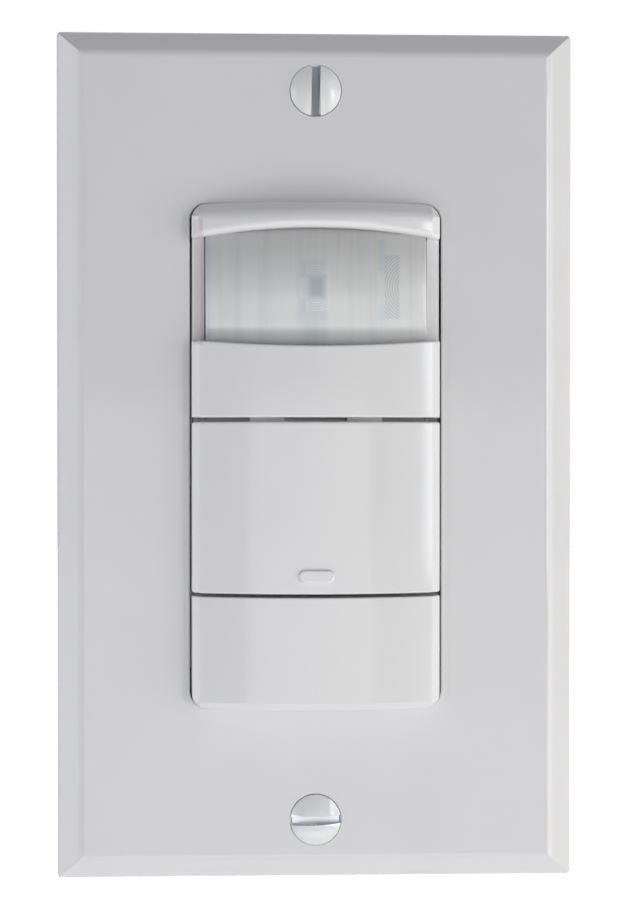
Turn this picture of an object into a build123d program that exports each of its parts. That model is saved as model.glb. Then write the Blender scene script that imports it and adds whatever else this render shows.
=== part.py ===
from build123d import *
import math
import os

# A one-gang motion sensor light switch with its decorator wall plate.
# Millimetres. X to the right seen from the front, Z up, and the wall face at Y = 0 with the room on -Y.
# The origin is the middle of the wall plate, on the plane of the wall.
# Heights above the wall are measured towards the room and named _rise, depths into the wall box _depth.

# Crowned face of the device, shared by frame, button and cover
face_width = 32.7
face_height = 66.5
face_corner = 2.0
face_crest = 10.1
crown_drop = 2.0
side_facet = 1.05
top_facet = 1.8
crease_radius = 0.3
shoulder_radius = 0.2
top_round = 2.0
end_round = 0.3
face_wall = 1.6
foot_gap = 1.2

# Wall plate
plate_width = 69.85
plate_overhang = 3.95
plate_rise = 5.6
plate_wall = 1.9
plate_side_wall = 2.2
plate_edge_rise = 2.5
plate_draft = 0.2
plate_bevel = 3.5
plate_edge_round = 1.2
plate_crease_round = 1.5
plate_corner = 1.6
opening_side_gap = 0.35
opening_end_gap = 0.2
opening_corner = 2.2
opening_round = 0.2
collar_wall = 1.2
collar_rise = 2.9
boss_radius = 3.1
boss_gap = 0.1
plate_rib = 1.0
plate_rib_rise = 1.6
plate_rib_height = 20.0

# Six-thirty-two screws, which hold the plate to the strap and the strap to the wall box
screw_radius = 1.75
tapped_gap = 0.05
oval_head_radius = 3.35
oval_head_edge = 0.12
oval_head_dome = 0.85
oval_head_cone = 1.75
countersink_gap = 0.13
plate_screw_length = 12.7
slot_width = 1.1
slot_deep = 1.2
top_slot_turn = 2.1
bottom_slot_turn = 92.5
box_screw_length = 19.0
box_head_radius = 3.3
box_head_clear = 0.5
box_neck_radius = 1.5
box_neck_spare = 0.15
retainer_size = 9.6
retainer_thickness = 1.0
retainer_gap = 0.1
thread_chamfer = 0.5

# Mounting strap, whose back stays off the wall by its lift, so that the rim of the plate meets the wall
strap_thickness = 1.2
strap_lift = 0.1
box_row_gap = 5.92
plate_row_gap = 0.35
ear_end = 4.78
ear_width = 33.0
ear_corner = 4.0
waist_side_lap = 0.1
waist_end_lap = 1.75
waist_corner = 2.5
strap_window_gap = 0.3
box_slot_length = 7.4
box_slot_width = 4.2
notch_radius = 2.2
notch_lift = 3.63
tab_width = 7.2
tab_drop = 0.33
tab_reach = 9.0
ground_depth = 4.6
hex_flats = 7.9
hex_height = 2.2
ground_screw_length = 8.0

# Front frame
bezel_height = 3.45
bezel_tuck = 1.2
lip_drop = 1.0
lip_round = 0.8
window_height = 15.4
panel_height = 9.35
panel_top_lift = 0.7
rail_drop = 4.3
deck_drop = 6.7
deck_thickness = 1.8
flange_reach = 1.35
flange_thickness = 1.6
flange_end = 4.25
aperture_side = 2.55
aperture_bottom_lap = 2.0
aperture_top_lap = 0.9
bulkhead_drop = 1.8
bulkhead_wall = 1.4
leg_radius = 1.1
leg_side_inset = 2.95
leg_end_inset = 1.4
board_gap = 0.05

# Recess for the adjusting dials, under the lift-off cover
recess_side_wall = 2.85
recess_end_wall = 2.25
recess_height = 10.7
recess_floor_rise = 0.4
recess_floor = 1.6

# Push-button
button_gap = 0.55
button_corner = 0.35
arm_inner = 4.1
arm_outer = 8.7
arm_half = 1.5
pivot_lift = 4.15
pivot_drop = 4.2
trunnion_radius = 1.0
trunnion_gap = 0.06
trunnion_length = 1.8
lug_gap = 0.2
lug_width = 1.8
lug_half_height = 2.0
lip_height = 1.4
lip_thickness = 1.0
lip_side_gap = 0.35
post_radius = 1.4
rib_wall = 0.9
rib_deep = 1.2
bar_length = 4.6
bar_width = 1.6
bar_proud = 0.35
bar_round = 0.25
bar_lift = 2.4
press_travel = 0.5

# Lift-off cover
cover_height = 14.85
cover_gap = 0.45
cover_seat_gap = 0.1
tongue_width = 4.4
tongue_thickness = 1.0
tongue_gap = 0.1
tongue_rise = 1.3

# Lens
lens_gap = 0.15
lens_side_gap = 0.3
lens_wall = 0.7
lens_corner = 0.6
lens_end_gap = 0.15

# Front board and what stands on it
board_thickness = 1.6
front_board_depth = 6.05
front_board_side_gap = 0.4
front_board_end_gap = 0.2
front_board_corner = 1.0
detector_drop = 7.5
detector_radius = 4.1
detector_flange_radius = 4.6
detector_flange = 0.5
detector_rise = 4.2
detector_window_width = 4.0
detector_window_height = 3.0
detector_cap = 0.35
window_gap = 0.05
photocell_across = 8.6
photocell_radius = 2.1
photocell_rise = 1.8
photocell_chamfer = 0.22
led_across = -8.6
led_radius = 1.5
led_rise = 3.6
led_flange = 0.9
led_flange_radius = 1.9
switch_lift = 9.95
switch_size = 6.0
switch_body = 3.5
switch_total = 9.4
switch_corner = 0.55
plunger_radius = 1.7
plunger_gap = 0.06
plunger_bore = 1.9
plunger_inside = 0.9
plunger_collar = 0.55
plunger_chamfer = 0.27
post_gap = 0.1
deck_plunger_clear = 0.9
trimmer_size = 6.6
trimmer_rise = 3.4
trimmer_bore_deep = 1.6
trimmer_chamfer = 0.3
dial_side_gap = 0.4
dial_pitch_share = 11 / 15
dial_head = 1.6
dial_shaft_radius = 1.3
dial_gap = 0.06
dial_seat_gap = 0.05
dial_slot_width = 0.8
dial_slot_deep = 0.9
dial_slot_share = 2 / 3
dial_flutes = 12
dial_flute_radius = 0.35
chip_length = 8.7
chip_width = 3.9
chip_rise = 1.5
chip_across = 10.0
chip_lift = 6.0
chip_legs = 7
chip_leg_width = 0.42
chip_leg_reach = 1.0
chip_leg_thickness = 0.25
chip_pitch = 1.27

# Rear housing
body_side_lap = 5.85
body_end_lap = 2.5
body_deep = 32.0
body_wall = 1.8
body_floor = 2.0
body_corner = 3.0
body_chamfer = 0.7
screw_side_inset = 3.0
screw_end_inset = 2.55
post_boss_radius = 2.4
small_screw_radius = 1.45
small_screw_gap = 0.05
small_screw_clear = 0.15
small_screw_length = 14.0
small_head_radius = 2.4
small_head_height = 1.3
small_head_chamfer = 0.45
ledge_reach = 2.4
ledge_thickness = 1.6
ledge_end_inset = 3.6
ledge_middle = 3.5
pocket_width = 12.0
pocket_front = 10.0
pocket_deep = 3.6
pocket_wall = 1.5
terminal_height = 14.0
stand_radius = 1.9
stand_side_inset = 4.6
stand_end_inset = 3.5
vent_width = 1.4
vent_length = 11.0
vent_count = 5
vent_pitch = 3.6

# Terminals
terminal_thickness = 0.9
terminal_width = 8.4
terminal_front = 12.2
terminal_tail_width = 4.0
terminal_tail_reach = 4.6
terminal_seat_gap = 0.05
terminal_slot_gap = 0.1
binding_radius = 3.9
binding_head = 1.7
binding_chamfer = 0.45
binding_slot_deep = 0.6
binding_shank = 2.05
binding_gap = 0.05
binding_depth = 16.4
wire_space = 0.95
binding_length = 5.2

# Power board and what stands on it
power_board_back = 7.0
power_board_side_gap = 0.7
power_board_end_gap = 0.3
relay_width = 15.4
relay_length = 19.0
relay_top_gap = 2.15
relay_end_inset = 3.4
relay_side_gap = 1.43
relay_edge = 0.6
film_width = 6.4
film_length = 13.0
film_top_gap = 4.95
film_side_inset = 2.6
can_radius = 5.0
can_top_gap = 4.15
can_side_inset = 3.2
can_groove = 0.45
can_groove_place = 2.4
choke_radius = 4.4
choke_waist = 3.1
choke_flange = 1.3
choke_tall = 9.0
choke_side_inset = 3.4
choke_end_inset = 6.5
disc_radius = 4.8
disc_thickness = 3.4
disc_edge = 1.1
disc_across = -6.8
disc_end_inset = 1.3
disc_lift = 1.2
header_pins = 6
header_pitch = 2.54
header_pin = 0.64
header_block = 2.5
header_side_inset = 3.0
header_end_inset = 10.5
overrun = 1.0

# Outlines that follow from the face, each set round the one before it
opening_width = face_width + 2 * opening_side_gap
opening_height = face_height + 2 * opening_end_gap
body_width = face_width + 2 * body_side_lap
body_height = face_height + 2 * body_end_lap
waist_width = body_width + 2 * waist_side_lap
waist_height = body_height + 2 * waist_end_lap
box_screw_pitch = body_height + 2 * box_row_gap
plate_screw_pitch = box_screw_pitch + 2 * (box_head_radius + plate_row_gap + boss_radius)
strap_length = plate_screw_pitch + 2 * ear_end
plate_height = strap_length + 2 * plate_overhang
ground_height = -box_screw_pitch / 2 - tab_drop

# Heights above the wall that follow from the crest of the face, the plate and the strap
deck_rise = face_crest - deck_drop
rail_rise = face_crest - rail_drop
face_foot = deck_rise + foot_gap
pivot_rise = face_crest - pivot_drop
arm_rise = pivot_rise + arm_half
strap_front = strap_lift + strap_thickness
box_head_height = plate_rise - plate_wall - strap_front - box_head_clear
flange_foot = strap_lift - flange_thickness

# Places up the face, from its top edge down to the cover
lip_middle = face_height / 2 - bezel_height
panel_top_middle = lip_middle - window_height
panel_bottom = panel_top_middle - panel_height
button_top = panel_bottom - button_gap
button_bottom = face_height / 2 - cover_height - cover_gap
bezel_cavity_top = lip_middle + bezel_tuck
aperture_bottom = panel_top_middle + aperture_bottom_lap
aperture_top = lip_middle - aperture_top_lap
bulkhead_top = panel_top_middle - bulkhead_drop
pivot_height = panel_bottom + pivot_lift
bar_height = button_bottom - bar_lift
recess_bottom = face_height / 2 - recess_end_wall
recess_top = recess_bottom - recess_height
dial_height = (recess_top + recess_bottom) / 2
detector_height = lip_middle - detector_drop
switch_height = button_bottom - switch_lift
chip_height = chip_lift - switch_height

# Places across the face
inner_half = face_width / 2 - face_wall
aperture_half = inner_half - aperture_side
recess_half = face_width / 2 - recess_side_wall
leg_across = face_width / 2 - leg_side_inset
dial_room = recess_half - tongue_gap - tongue_thickness - dial_side_gap
dial_spacing = dial_room * dial_pitch_share
dial_radius = dial_room - dial_spacing

# Places in the rear housing
screw_across = body_width / 2 - screw_side_inset
screw_height = body_height / 2 - screw_end_inset
post_edge = screw_height - post_boss_radius
front_board_half_width = body_width / 2 - body_wall - front_board_side_gap
front_board_half_height = post_edge - front_board_end_gap
leg_height = front_board_half_height - leg_end_inset
ledge_end = front_board_half_height - ledge_end_inset
power_board_half_width = body_width / 2 - pocket_deep - pocket_wall - power_board_side_gap
power_board_half_height = post_edge - power_board_end_gap
power_board_depth = body_deep - power_board_back
board_space = power_board_depth - front_board_depth - board_thickness
header_across = header_side_inset - power_board_half_width
header_height = power_board_half_height - header_end_inset
relay_across = header_across + header_pitch / 2 + relay_side_gap + relay_width / 2
relay_bottom = power_board_half_height - relay_end_inset - relay_length
disc_height = disc_end_inset + disc_radius - power_board_half_height
film_across = film_side_inset + film_width / 2 - power_board_half_width
film_height = (relay_bottom + disc_height + disc_radius) / 2
choke_across = power_board_half_width - choke_side_inset - choke_radius
choke_height = choke_end_inset + choke_radius - power_board_half_height
can_across = power_board_half_width - can_side_inset - can_radius
can_height = (relay_bottom + choke_height + choke_radius) / 2

# Places of what repeats. A terminal's side is 1 on the right, where the hot ones are, and -1 on the left
hot_places = ((1, terminal_height), (1, -terminal_height))
neutral_places = ((-1, -terminal_height),)
terminal_places = hot_places + neutral_places
corner_places = [(x, z) for x in (-screw_across, screw_across) for z in (-screw_height, screw_height)]
box_places = (-box_screw_pitch / 2, box_screw_pitch / 2)
ledge_heights = (-ledge_end, -ledge_middle, ledge_middle, ledge_end)
dial_places = {"time_dial": -dial_spacing, "light_dial": 0, "range_dial": dial_spacing}


def wall_plane(rise):
    """Sketch plane parallel to the wall at a height above it, with x along X and y along Z."""
    return Plane(origin=(0, -rise, 0), x_dir=(1, 0, 0), z_dir=(0, -1, 0))


def upright(face, low, high):
    """Extrudes a shape drawn in front view from one height above the wall to a greater one."""
    return extrude(wall_plane(low) * face, amount=high - low)


def block(x_low, x_high, rise_low, rise_high, z_low, z_high):
    """A rectangular block between six faces."""
    middle = ((x_low + x_high) / 2, -(rise_low + rise_high) / 2, (z_low + z_high) / 2)
    return Pos(*middle) * Box(x_high - x_low, rise_high - rise_low, z_high - z_low)


def peg(x, z, radius, low, high):
    """A cylinder square to the wall."""
    return upright(Pos(x, z) * Circle(radius), low, high)


def turned(points, x, z):
    """Turns a half outline of (radius, rise) points round a line square to the wall at x, z."""
    outline = make_face(Polyline(*[(radius, -rise) for radius, rise in points], close=True))
    return Pos(x, 0, z) * revolve(outline, axis=Axis.Y)


def side_shape(points, x_low, x_high):
    """Extrudes an outline of (rise, z) points, seen from the side, between two places along X."""
    outline = make_face(Polyline(*[(-rise, z) for rise, z in points], close=True))
    return extrude(Plane.YZ.offset(x_low) * outline, amount=x_high - x_low)


# The crown is one arc over the width of the face, between the two side facets.
crease_half = face_width / 2 - side_facet
crown_radius = (crease_half**2 + crown_drop**2) / (2 * crown_drop)


def crown_rise(x, inset=0):
    """Height of the crowned face above the wall at x, or of a surface set in below it."""
    radius = crown_radius - inset
    return face_crest - crown_radius + math.sqrt(radius**2 - x**2)


def sharp_section(foot):
    """Cross-section of the crowned face: straight sides, side facets and the crown."""
    half = face_width / 2
    crease_rise = face_crest - crown_drop
    shoulder_rise = crease_rise - side_facet
    sides = Polyline(
        (crease_half, -crease_rise),
        (half, -shoulder_rise),
        (half, -foot),
        (-half, -foot),
        (-half, -shoulder_rise),
        (-crease_half, -crease_rise),
    )
    crown = ThreePointArc((-crease_half, -crease_rise), (0, -face_crest), (crease_half, -crease_rise))
    return make_face(sides + crown)


def face_section(foot):
    """The same cross-section with soft creases along its side facets."""
    section = sharp_section(foot)
    front_corners = [corner for corner in section.vertices() if corner.Y < -foot]
    return fillet(front_corners, radius=crease_radius)


def edges_across(shape, low, high, facets):
    """The front edges across the face between two heights, with those of its side facets or without."""
    lowest = face_crest - crown_drop - (side_facet if facets else 0)
    shortest = side_facet / 2 if facets else crease_half
    found = []
    for edge in shape.edges().filter_by_position(Axis.Z, low - board_gap, high + board_gap):
        if edge.bounding_box().size.X > shortest and -edge.center().Y > lowest:
            found.append(edge)
    return found


def edges_along(shape, across, lowest):
    """The front edges that run up the face at a distance on both sides of its middle."""
    found = []
    for edge in shape.edges().filter_by(Axis.Z):
        if abs(abs(edge.center().X) - across) < crease_radius / 4 and -edge.center().Y > lowest:
            found.append(edge)
    return found


def inner_section(foot, inset, half):
    """Cross-section of the hollow behind the crowned face, between two straight sides."""
    shoulder = crown_rise(half, inset)
    sides = Polyline((half, -shoulder), (half, -foot), (-half, -foot), (-half, -shoulder))
    crown = ThreePointArc((-half, -shoulder), (0, inset - face_crest), (half, -shoulder))
    return make_face(sides + crown)


def crowned_bar(section, z_low, z_high):
    """Extrudes a cross-section between two heights."""
    return extrude(Plane.XY.offset(z_low) * section, amount=z_high - z_low)


def slanted_end(section, z_start, run):
    """Carries a cross-section on at forty-five degrees towards the wall, for a facet across an end."""
    direction = (0, abs(run), run)
    return extrude(Plane.XY.offset(z_start) * section, amount=abs(run) * math.sqrt(2), dir=direction)


def face_outline(low):
    """The whole front outline of the device, with its rounded corners, as a block to cut faces with."""
    return upright(RectangleRounded(face_width, face_height, face_corner), low, face_crest + overrun)


def arched_window(half, low, high):
    """The window between the arched lip of the bezel and the dished top edge of the panel."""
    lip_radius = (inner_half**2 + lip_drop**2) / (2 * lip_drop)
    panel_radius = (inner_half**2 + panel_top_lift**2) / (2 * panel_top_lift)
    lip_end = lip_middle - lip_radius + math.sqrt(lip_radius**2 - half**2)
    panel_end = panel_top_middle + panel_radius - math.sqrt(panel_radius**2 - half**2)
    top = ThreePointArc((-half, lip_end), (0, lip_middle), (half, lip_end))
    bottom = ThreePointArc((-half, panel_end), (0, panel_top_middle), (half, panel_end))
    left = Line((-half, panel_end), (-half, lip_end))
    right = Line((half, panel_end), (half, lip_end))
    return upright(make_face(top + right + bottom + left), low, high)


def dome(radius, edge_rise, crest_rise):
    """The arc of a domed screw head, from its edge up to its crest on the screw's own line."""
    height = crest_rise - edge_rise
    dome_radius = (radius**2 + height**2) / (2 * height)
    half_way = radius / 2
    half_rise = crest_rise - dome_radius + math.sqrt(dome_radius**2 - half_way**2)
    return ThreePointArc((radius, -edge_rise), (half_way, -half_rise), (0, -crest_rise))


def bevelled_slab(width, height, corner, low, edge, high):
    """A slab with drafted sides up to its edge, then a bevel in to its face, with both bends softened."""
    inset = plate_draft + plate_bevel
    foot = Rectangle(width, height)
    rim = Rectangle(width - 2 * plate_draft, height - 2 * plate_draft)
    face = Rectangle(width - 2 * inset, height - 2 * inset)
    slab = loft([wall_plane(low) * foot, wall_plane(edge) * rim], ruled=True)
    slab += loft([wall_plane(edge) * rim, wall_plane(high) * face], ruled=True)
    slab = fillet(slab.edges().group_by(Axis.Y)[0], radius=plate_crease_round)
    bends = slab.edges().filter_by_position(Axis.Y, -edge - plate_draft, plate_draft - edge)
    bends = [bend for bend in bends if bend.length > plate_bevel + plate_crease_round]
    slab = fillet(bends, radius=plate_edge_round)
    return slab & upright(RectangleRounded(width, height, corner), low, high)


def oval_screw(z, turn):
    """A plate screw: domed oval head with a slot, cone and plain shank."""
    seat = plate_rise
    edge = seat + oval_head_edge
    crest = edge + oval_head_dome
    tip = seat - plate_screw_length
    shank_top = seat - oval_head_cone
    cone_and_shank = Polyline(
        (0, -crest),
        (0, -tip),
        (screw_radius - thread_chamfer, -tip),
        (screw_radius, -tip - thread_chamfer),
        (screw_radius, -shank_top),
        (oval_head_radius, -seat),
        (oval_head_radius, -edge),
    )
    screw = revolve(make_face(cone_and_shank + dome(oval_head_radius, edge, crest)), axis=Axis.Y)
    slot = Rectangle(slot_width, 2 * oval_head_radius + overrun)
    screw -= upright(slot, crest - slot_deep, crest + overrun)
    return Pos(0, 0, z) * Rot(0, -turn, 0) * screw


def make_wall_plate():
    """Moulded wall plate: a bevelled shell with its opening, a collar round it, screw bosses and ribs."""
    plate = bevelled_slab(plate_width, plate_height, plate_corner, 0, plate_edge_rise, plate_rise)
    hollow_width = plate_width - 2 * plate_side_wall
    hollow_height = plate_height - 2 * plate_side_wall
    hollow_rise = plate_rise - plate_wall
    hollow_edge = plate_edge_rise - plate_wall
    plate -= bevelled_slab(hollow_width, hollow_height, plate_corner, -overrun, hollow_edge, hollow_rise)

    into_face = hollow_rise + plate_wall / 2
    opening = RectangleRounded(opening_width, opening_height, opening_corner)
    collar_width = opening_width + 2 * collar_wall
    collar_height = opening_height + 2 * collar_wall
    collar = RectangleRounded(collar_width, collar_height, opening_corner + collar_wall)
    plate += upright(collar, collar_rise, into_face)
    rib_start = opening_width / 2 + collar_wall / 2
    rib_end = hollow_width / 2 - plate_bevel / 2
    for z in (-plate_rib_height, plate_rib_height):
        rib = block(rib_start, rib_end, plate_rib_rise, into_face, z, z + plate_rib)
        plate += rib
        plate += mirror(rib, about=Plane.YZ)
    for z in (-plate_screw_pitch / 2, plate_screw_pitch / 2):
        plate += peg(0, z, boss_radius, strap_front + boss_gap, into_face)
    plate -= upright(opening, 0, plate_rise + overrun)
    rim = plate.edges().group_by(Axis.Y)[0]
    rim = rim.filter_by_position(Axis.X, -opening_width / 2 - overrun, opening_width / 2 + overrun)
    rim = rim.filter_by_position(Axis.Z, -opening_height / 2 - overrun, opening_height / 2 + overrun)
    plate = fillet(rim, radius=opening_round)

    hole = screw_radius + countersink_gap
    mouth = oval_head_radius + countersink_gap
    bore = [
        (0, 0),
        (hole, 0),
        (hole, plate_rise - oval_head_cone),
        (mouth, plate_rise),
        (mouth, plate_rise + overrun),
        (0, plate_rise + overrun),
    ]
    for z in (-plate_screw_pitch / 2, plate_screw_pitch / 2):
        plate -= turned(bore, 0, z)
    return plate


def make_strap():
    """Pressed steel strap: waist and ears with a window, slots, tapped holes, notches and a ground tab."""
    ears = RectangleRounded(ear_width, strap_length, ear_corner)
    waist = RectangleRounded(waist_width, waist_height, waist_corner)
    window_width = face_width + 2 * strap_window_gap
    window_height_cut = face_height + 2 * strap_window_gap
    outline = ears + waist - RectangleRounded(window_width, window_height_cut, face_corner)
    notch_height = box_screw_pitch / 2 + notch_lift
    for end in (-1, 1):
        outline -= Pos(0, end * box_screw_pitch / 2) * SlotOverall(box_slot_length, box_slot_width)
        outline -= Pos(0, end * plate_screw_pitch / 2) * Circle(screw_radius + tapped_gap)
        for side in (-1, 1):
            clearance_hole = Circle(small_screw_radius + small_screw_clear)
            outline -= Pos(side * screw_across, end * screw_height) * clearance_hole
            if end > 0 or side > 0:
                outline -= Pos(side * ear_width / 2, end * notch_height) * Circle(notch_radius)
    strap = upright(outline, strap_lift, strap_front)
    left = -ear_width / 2
    tab_low = ground_height - tab_width / 2
    strap += block(left, left + strap_thickness, -tab_reach, strap_front, tab_low, tab_low + tab_width)
    tapped_hole = Cylinder(screw_radius + tapped_gap, ear_width / 4)
    return strap - Pos(left, ground_depth, ground_height) * Rot(0, 90, 0) * tapped_hole


def make_box_screw(z):
    """A captive machine screw for the wall box: truss head, slim neck in the strap, then the thread."""
    head_top = strap_front + box_head_height
    head_edge = strap_front + box_head_height / 3
    tip = strap_front - box_screw_length
    neck_end = retainer_thickness + box_neck_spare - strap_lift
    body = Polyline(
        (0, -head_top),
        (0, -tip),
        (screw_radius - thread_chamfer, -tip),
        (screw_radius, -tip - thread_chamfer),
        (screw_radius, neck_end),
        (box_neck_radius, neck_end),
        (box_neck_radius, -strap_front),
        (box_head_radius, -strap_front),
        (box_head_radius, -head_edge),
    )
    screw = revolve(make_face(body + dome(box_head_radius, head_edge, head_top)), axis=Axis.Y)
    slot = Rectangle(2 * box_head_radius + overrun, slot_width)
    return Pos(0, 0, z) * (screw - upright(slot, head_top - slot_deep, head_top + overrun))


def make_retainer(z):
    """A fibre square pushed over the screw's neck behind the strap."""
    square = Rectangle(retainer_size, retainer_size) - Circle(box_neck_radius + retainer_gap)
    return upright(Pos(0, z) * square, strap_lift - retainer_thickness, strap_lift)


def make_body_screw(x, z):
    """A small pan-head screw through the strap into the rear housing."""
    top = strap_front + small_head_height
    screw = peg(x, z, small_head_radius, strap_front, top)
    screw = chamfer(screw.edges().group_by(Axis.Y)[0], length=small_head_chamfer)
    screw += peg(x, z, small_screw_radius, strap_front - small_screw_length, strap_front)
    bar = Rectangle(small_head_radius, slot_width / 2)
    recess = Pos(x, z) * (bar + Rot(0, 0, 90) * bar)
    return screw - upright(recess, top - small_head_height / 2, top + overrun)


def make_ground_screw():
    """Hexagon-head ground screw in the strap's bent tab, pointing inwards."""
    head = extrude(RegularPolygon(hex_flats / 2, 6, major_radius=False), amount=hex_height)
    head -= Pos(0, 0, hex_height) * Box(hex_flats + overrun, slot_width, hex_height)
    shank = extrude(Circle(screw_radius), amount=-ground_screw_length)
    return Pos(-ear_width / 2, ground_depth, ground_height) * Rot(0, -90, 0) * (head + shank)


def make_frame_shell():
    """The crowned bezel and panel with the window between them, still solid, with their edges softened."""
    section = sharp_section(flange_foot)
    facet_start = face_height / 2 - top_facet
    shell = crowned_bar(section, panel_bottom, facet_start) + slanted_end(section, facet_start, top_facet)
    shell = fillet(edges_across(shell, facet_start, facet_start, False), radius=top_round)
    shell &= face_outline(flange_foot)
    shell -= arched_window(inner_half, deck_rise, face_crest + overrun)
    shell -= arched_window(face_width / 2 + overrun, rail_rise, face_crest + overrun)
    shell = fillet(edges_across(shell, lip_middle, lip_middle, False), radius=lip_round)
    shell = fillet(edges_across(shell, panel_top_middle, panel_top_middle, False), radius=end_round)
    shell = fillet(edges_across(shell, panel_bottom, panel_bottom, True), radius=end_round)
    shell = fillet(edges_along(shell, crease_half, rail_rise), radius=crease_radius)
    return fillet(edges_along(shell, face_width / 2, rail_rise), radius=shoulder_radius)


def make_front_frame():
    """The moulded front: crowned bezel and panel, side rails, deck, hinge lugs, dial recess and skirt."""
    shell = make_frame_shell()
    cavity = inner_section(flange_foot - overrun, face_wall, inner_half)
    shell -= crowned_bar(cavity, panel_bottom - overrun, bezel_cavity_top)

    skirt_shape = RectangleRounded(face_width, face_height, face_corner)
    skirt_inner = RectangleRounded(2 * inner_half, face_height - 2 * face_wall, face_corner / 2)
    deck_foot = deck_rise - deck_thickness
    skirt = upright(skirt_shape - skirt_inner, flange_foot, deck_rise)
    frame = shell + skirt + upright(skirt_shape, deck_foot, deck_rise)

    into_deck = deck_rise - deck_thickness / 2
    bulkhead = inner_section(into_deck, face_wall / 2, inner_half + face_wall / 2)
    frame += crowned_bar(bulkhead, bulkhead_top - bulkhead_wall, bulkhead_top)

    aperture_middle = (aperture_top + aperture_bottom) / 2
    aperture = RectangleRounded(2 * aperture_half, aperture_top - aperture_bottom, face_corner)
    frame -= upright(Pos(0, aperture_middle) * aperture, 0, deck_rise + overrun)
    frame -= peg(0, -switch_height, plunger_radius + deck_plunger_clear, 0, deck_rise + overrun)

    recess = RectangleRounded(2 * recess_half, recess_height, face_corner / 2)
    tub = RectangleRounded(2 * recess_half + recess_floor, recess_height + recess_floor, face_corner)
    tub_foot = recess_floor_rise - recess_floor
    frame += upright(Pos(0, -dial_height) * tub, tub_foot, into_deck)
    frame -= upright(Pos(0, -dial_height) * recess, recess_floor_rise, deck_rise + overrun)
    for place in (-dial_spacing, 0, dial_spacing):
        shaft_hole = dial_shaft_radius + dial_gap
        frame -= peg(place, -dial_height, shaft_hole, tub_foot - overrun, recess_floor_rise + overrun)

    lug_start = arm_outer + lug_gap
    lug_end = lug_start + lug_width
    lug_top = crown_rise(lug_end, face_wall / 2)
    lug_low = pivot_height - lug_half_height
    lug_high = bulkhead_top - bulkhead_wall / 2
    lug = block(lug_start, lug_end, into_deck, lug_top, lug_low, lug_high)
    flange_inner = face_width / 2 - face_wall / 2
    flange_outer = face_width / 2 + flange_reach
    flange_half = face_height / 2 - flange_end
    flange = block(flange_inner, flange_outer, flange_foot, strap_lift, -flange_half, flange_half)
    one_side = lug + flange
    for z in (-leg_height, leg_height):
        one_side += peg(leg_across, z, leg_radius, board_gap - front_board_depth, into_deck)
    frame += one_side
    frame += mirror(one_side, about=Plane.YZ)
    pivot = Pos(0, -pivot_rise, pivot_height) * Rot(0, 90, 0)
    return frame - pivot * Cylinder(trunnion_radius + trunnion_gap, 2 * lug_end + overrun)


def make_lens():
    """The curved lens sheet with turned-back sides, tucked behind the bezel and the panel."""
    half = inner_half - lens_side_gap
    foot = deck_rise + lens_gap
    outside = inner_section(foot, face_wall + lens_gap, half)
    front_corners = [corner for corner in outside.vertices() if corner.Y < -foot - lens_wall]
    outside = fillet(front_corners, radius=lens_corner)
    inside = inner_section(foot - overrun, face_wall + lens_gap + lens_wall, half - lens_wall)
    return crowned_bar(outside - inside, bulkhead_top + lens_end_gap, bezel_cavity_top - lens_end_gap)


def make_push_button():
    """The crowned button: hollow cap with top lips, hinge arms, ribs, actuator post and raised bar."""
    cap = crowned_bar(face_section(face_foot), -button_bottom, button_top)
    cap = fillet(edges_across(cap, -button_bottom, -button_bottom, True), radius=end_round)
    cap = fillet(edges_across(cap, button_top, button_top, True), radius=end_round)
    outline = RectangleRounded(face_width, button_top + button_bottom, button_corner)
    middle = (button_top - button_bottom) / 2
    cap &= upright(Pos(0, middle) * outline, face_foot, face_crest + overrun)
    hollow = inner_section(face_foot - overrun, face_wall, inner_half)
    cap -= crowned_bar(hollow, face_wall - button_bottom, button_top - face_wall)

    into_top = button_top - face_wall / 2
    into_bottom = face_wall / 2 - button_bottom
    lip_low = face_foot + board_gap
    lip_high = lip_low + lip_thickness
    lip_top = button_top + lip_height
    lip = block(arm_outer, inner_half - lip_side_gap, lip_low, lip_high, into_top, lip_top)
    one_side = lip + make_arm()
    cap += one_side
    cap += mirror(one_side, about=Plane.YZ)

    rib_low = face_foot + rib_deep
    roof = inner_section(rib_low, face_wall / 2, inner_half + face_wall / 2)
    for z in (-switch_height - switch_size / 2, -switch_height + switch_size / 2):
        cap += crowned_bar(roof, z - rib_wall / 2, z + rib_wall / 2)
    for x in (-switch_size / 2, switch_size / 2):
        roof_rise = crown_rise(x, face_wall / 2)
        cap += block(x - rib_wall / 2, x + rib_wall / 2, rib_low, roof_rise, into_bottom, into_top)
    post_foot = switch_total - front_board_depth + post_gap
    cap += peg(0, -switch_height, post_radius, post_foot, crown_rise(0, face_wall / 2))
    bar = Pos(0, -bar_height) * SlotOverall(bar_length, bar_width)
    raised = upright(bar, face_crest - face_wall / 2, face_crest + bar_proud)
    return cap + fillet(raised.edges().group_by(Axis.Y)[0], radius=bar_round)


def make_arm():
    """The right hinge arm, rounded about the pivot, with its outward trunnion."""
    low_rise = pivot_rise - arm_half
    into_top = button_top - face_wall / 2
    shank = [
        (low_rise, into_top),
        (arm_rise, into_top),
        (arm_rise, pivot_height),
        (low_rise, pivot_height),
    ]
    arm = side_shape(shank, arm_inner, arm_outer)
    pivot = Pos(0, -pivot_rise, pivot_height) * Rot(0, 90, 0)
    arm_middle = (arm_inner + arm_outer) / 2
    pin_length = trunnion_length + lug_gap
    arm += pivot * Pos(0, 0, arm_middle) * Cylinder(arm_half, arm_outer - arm_inner)
    return arm + pivot * Pos(0, 0, arm_outer + pin_length / 2) * Cylinder(trunnion_radius, pin_length)


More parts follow.
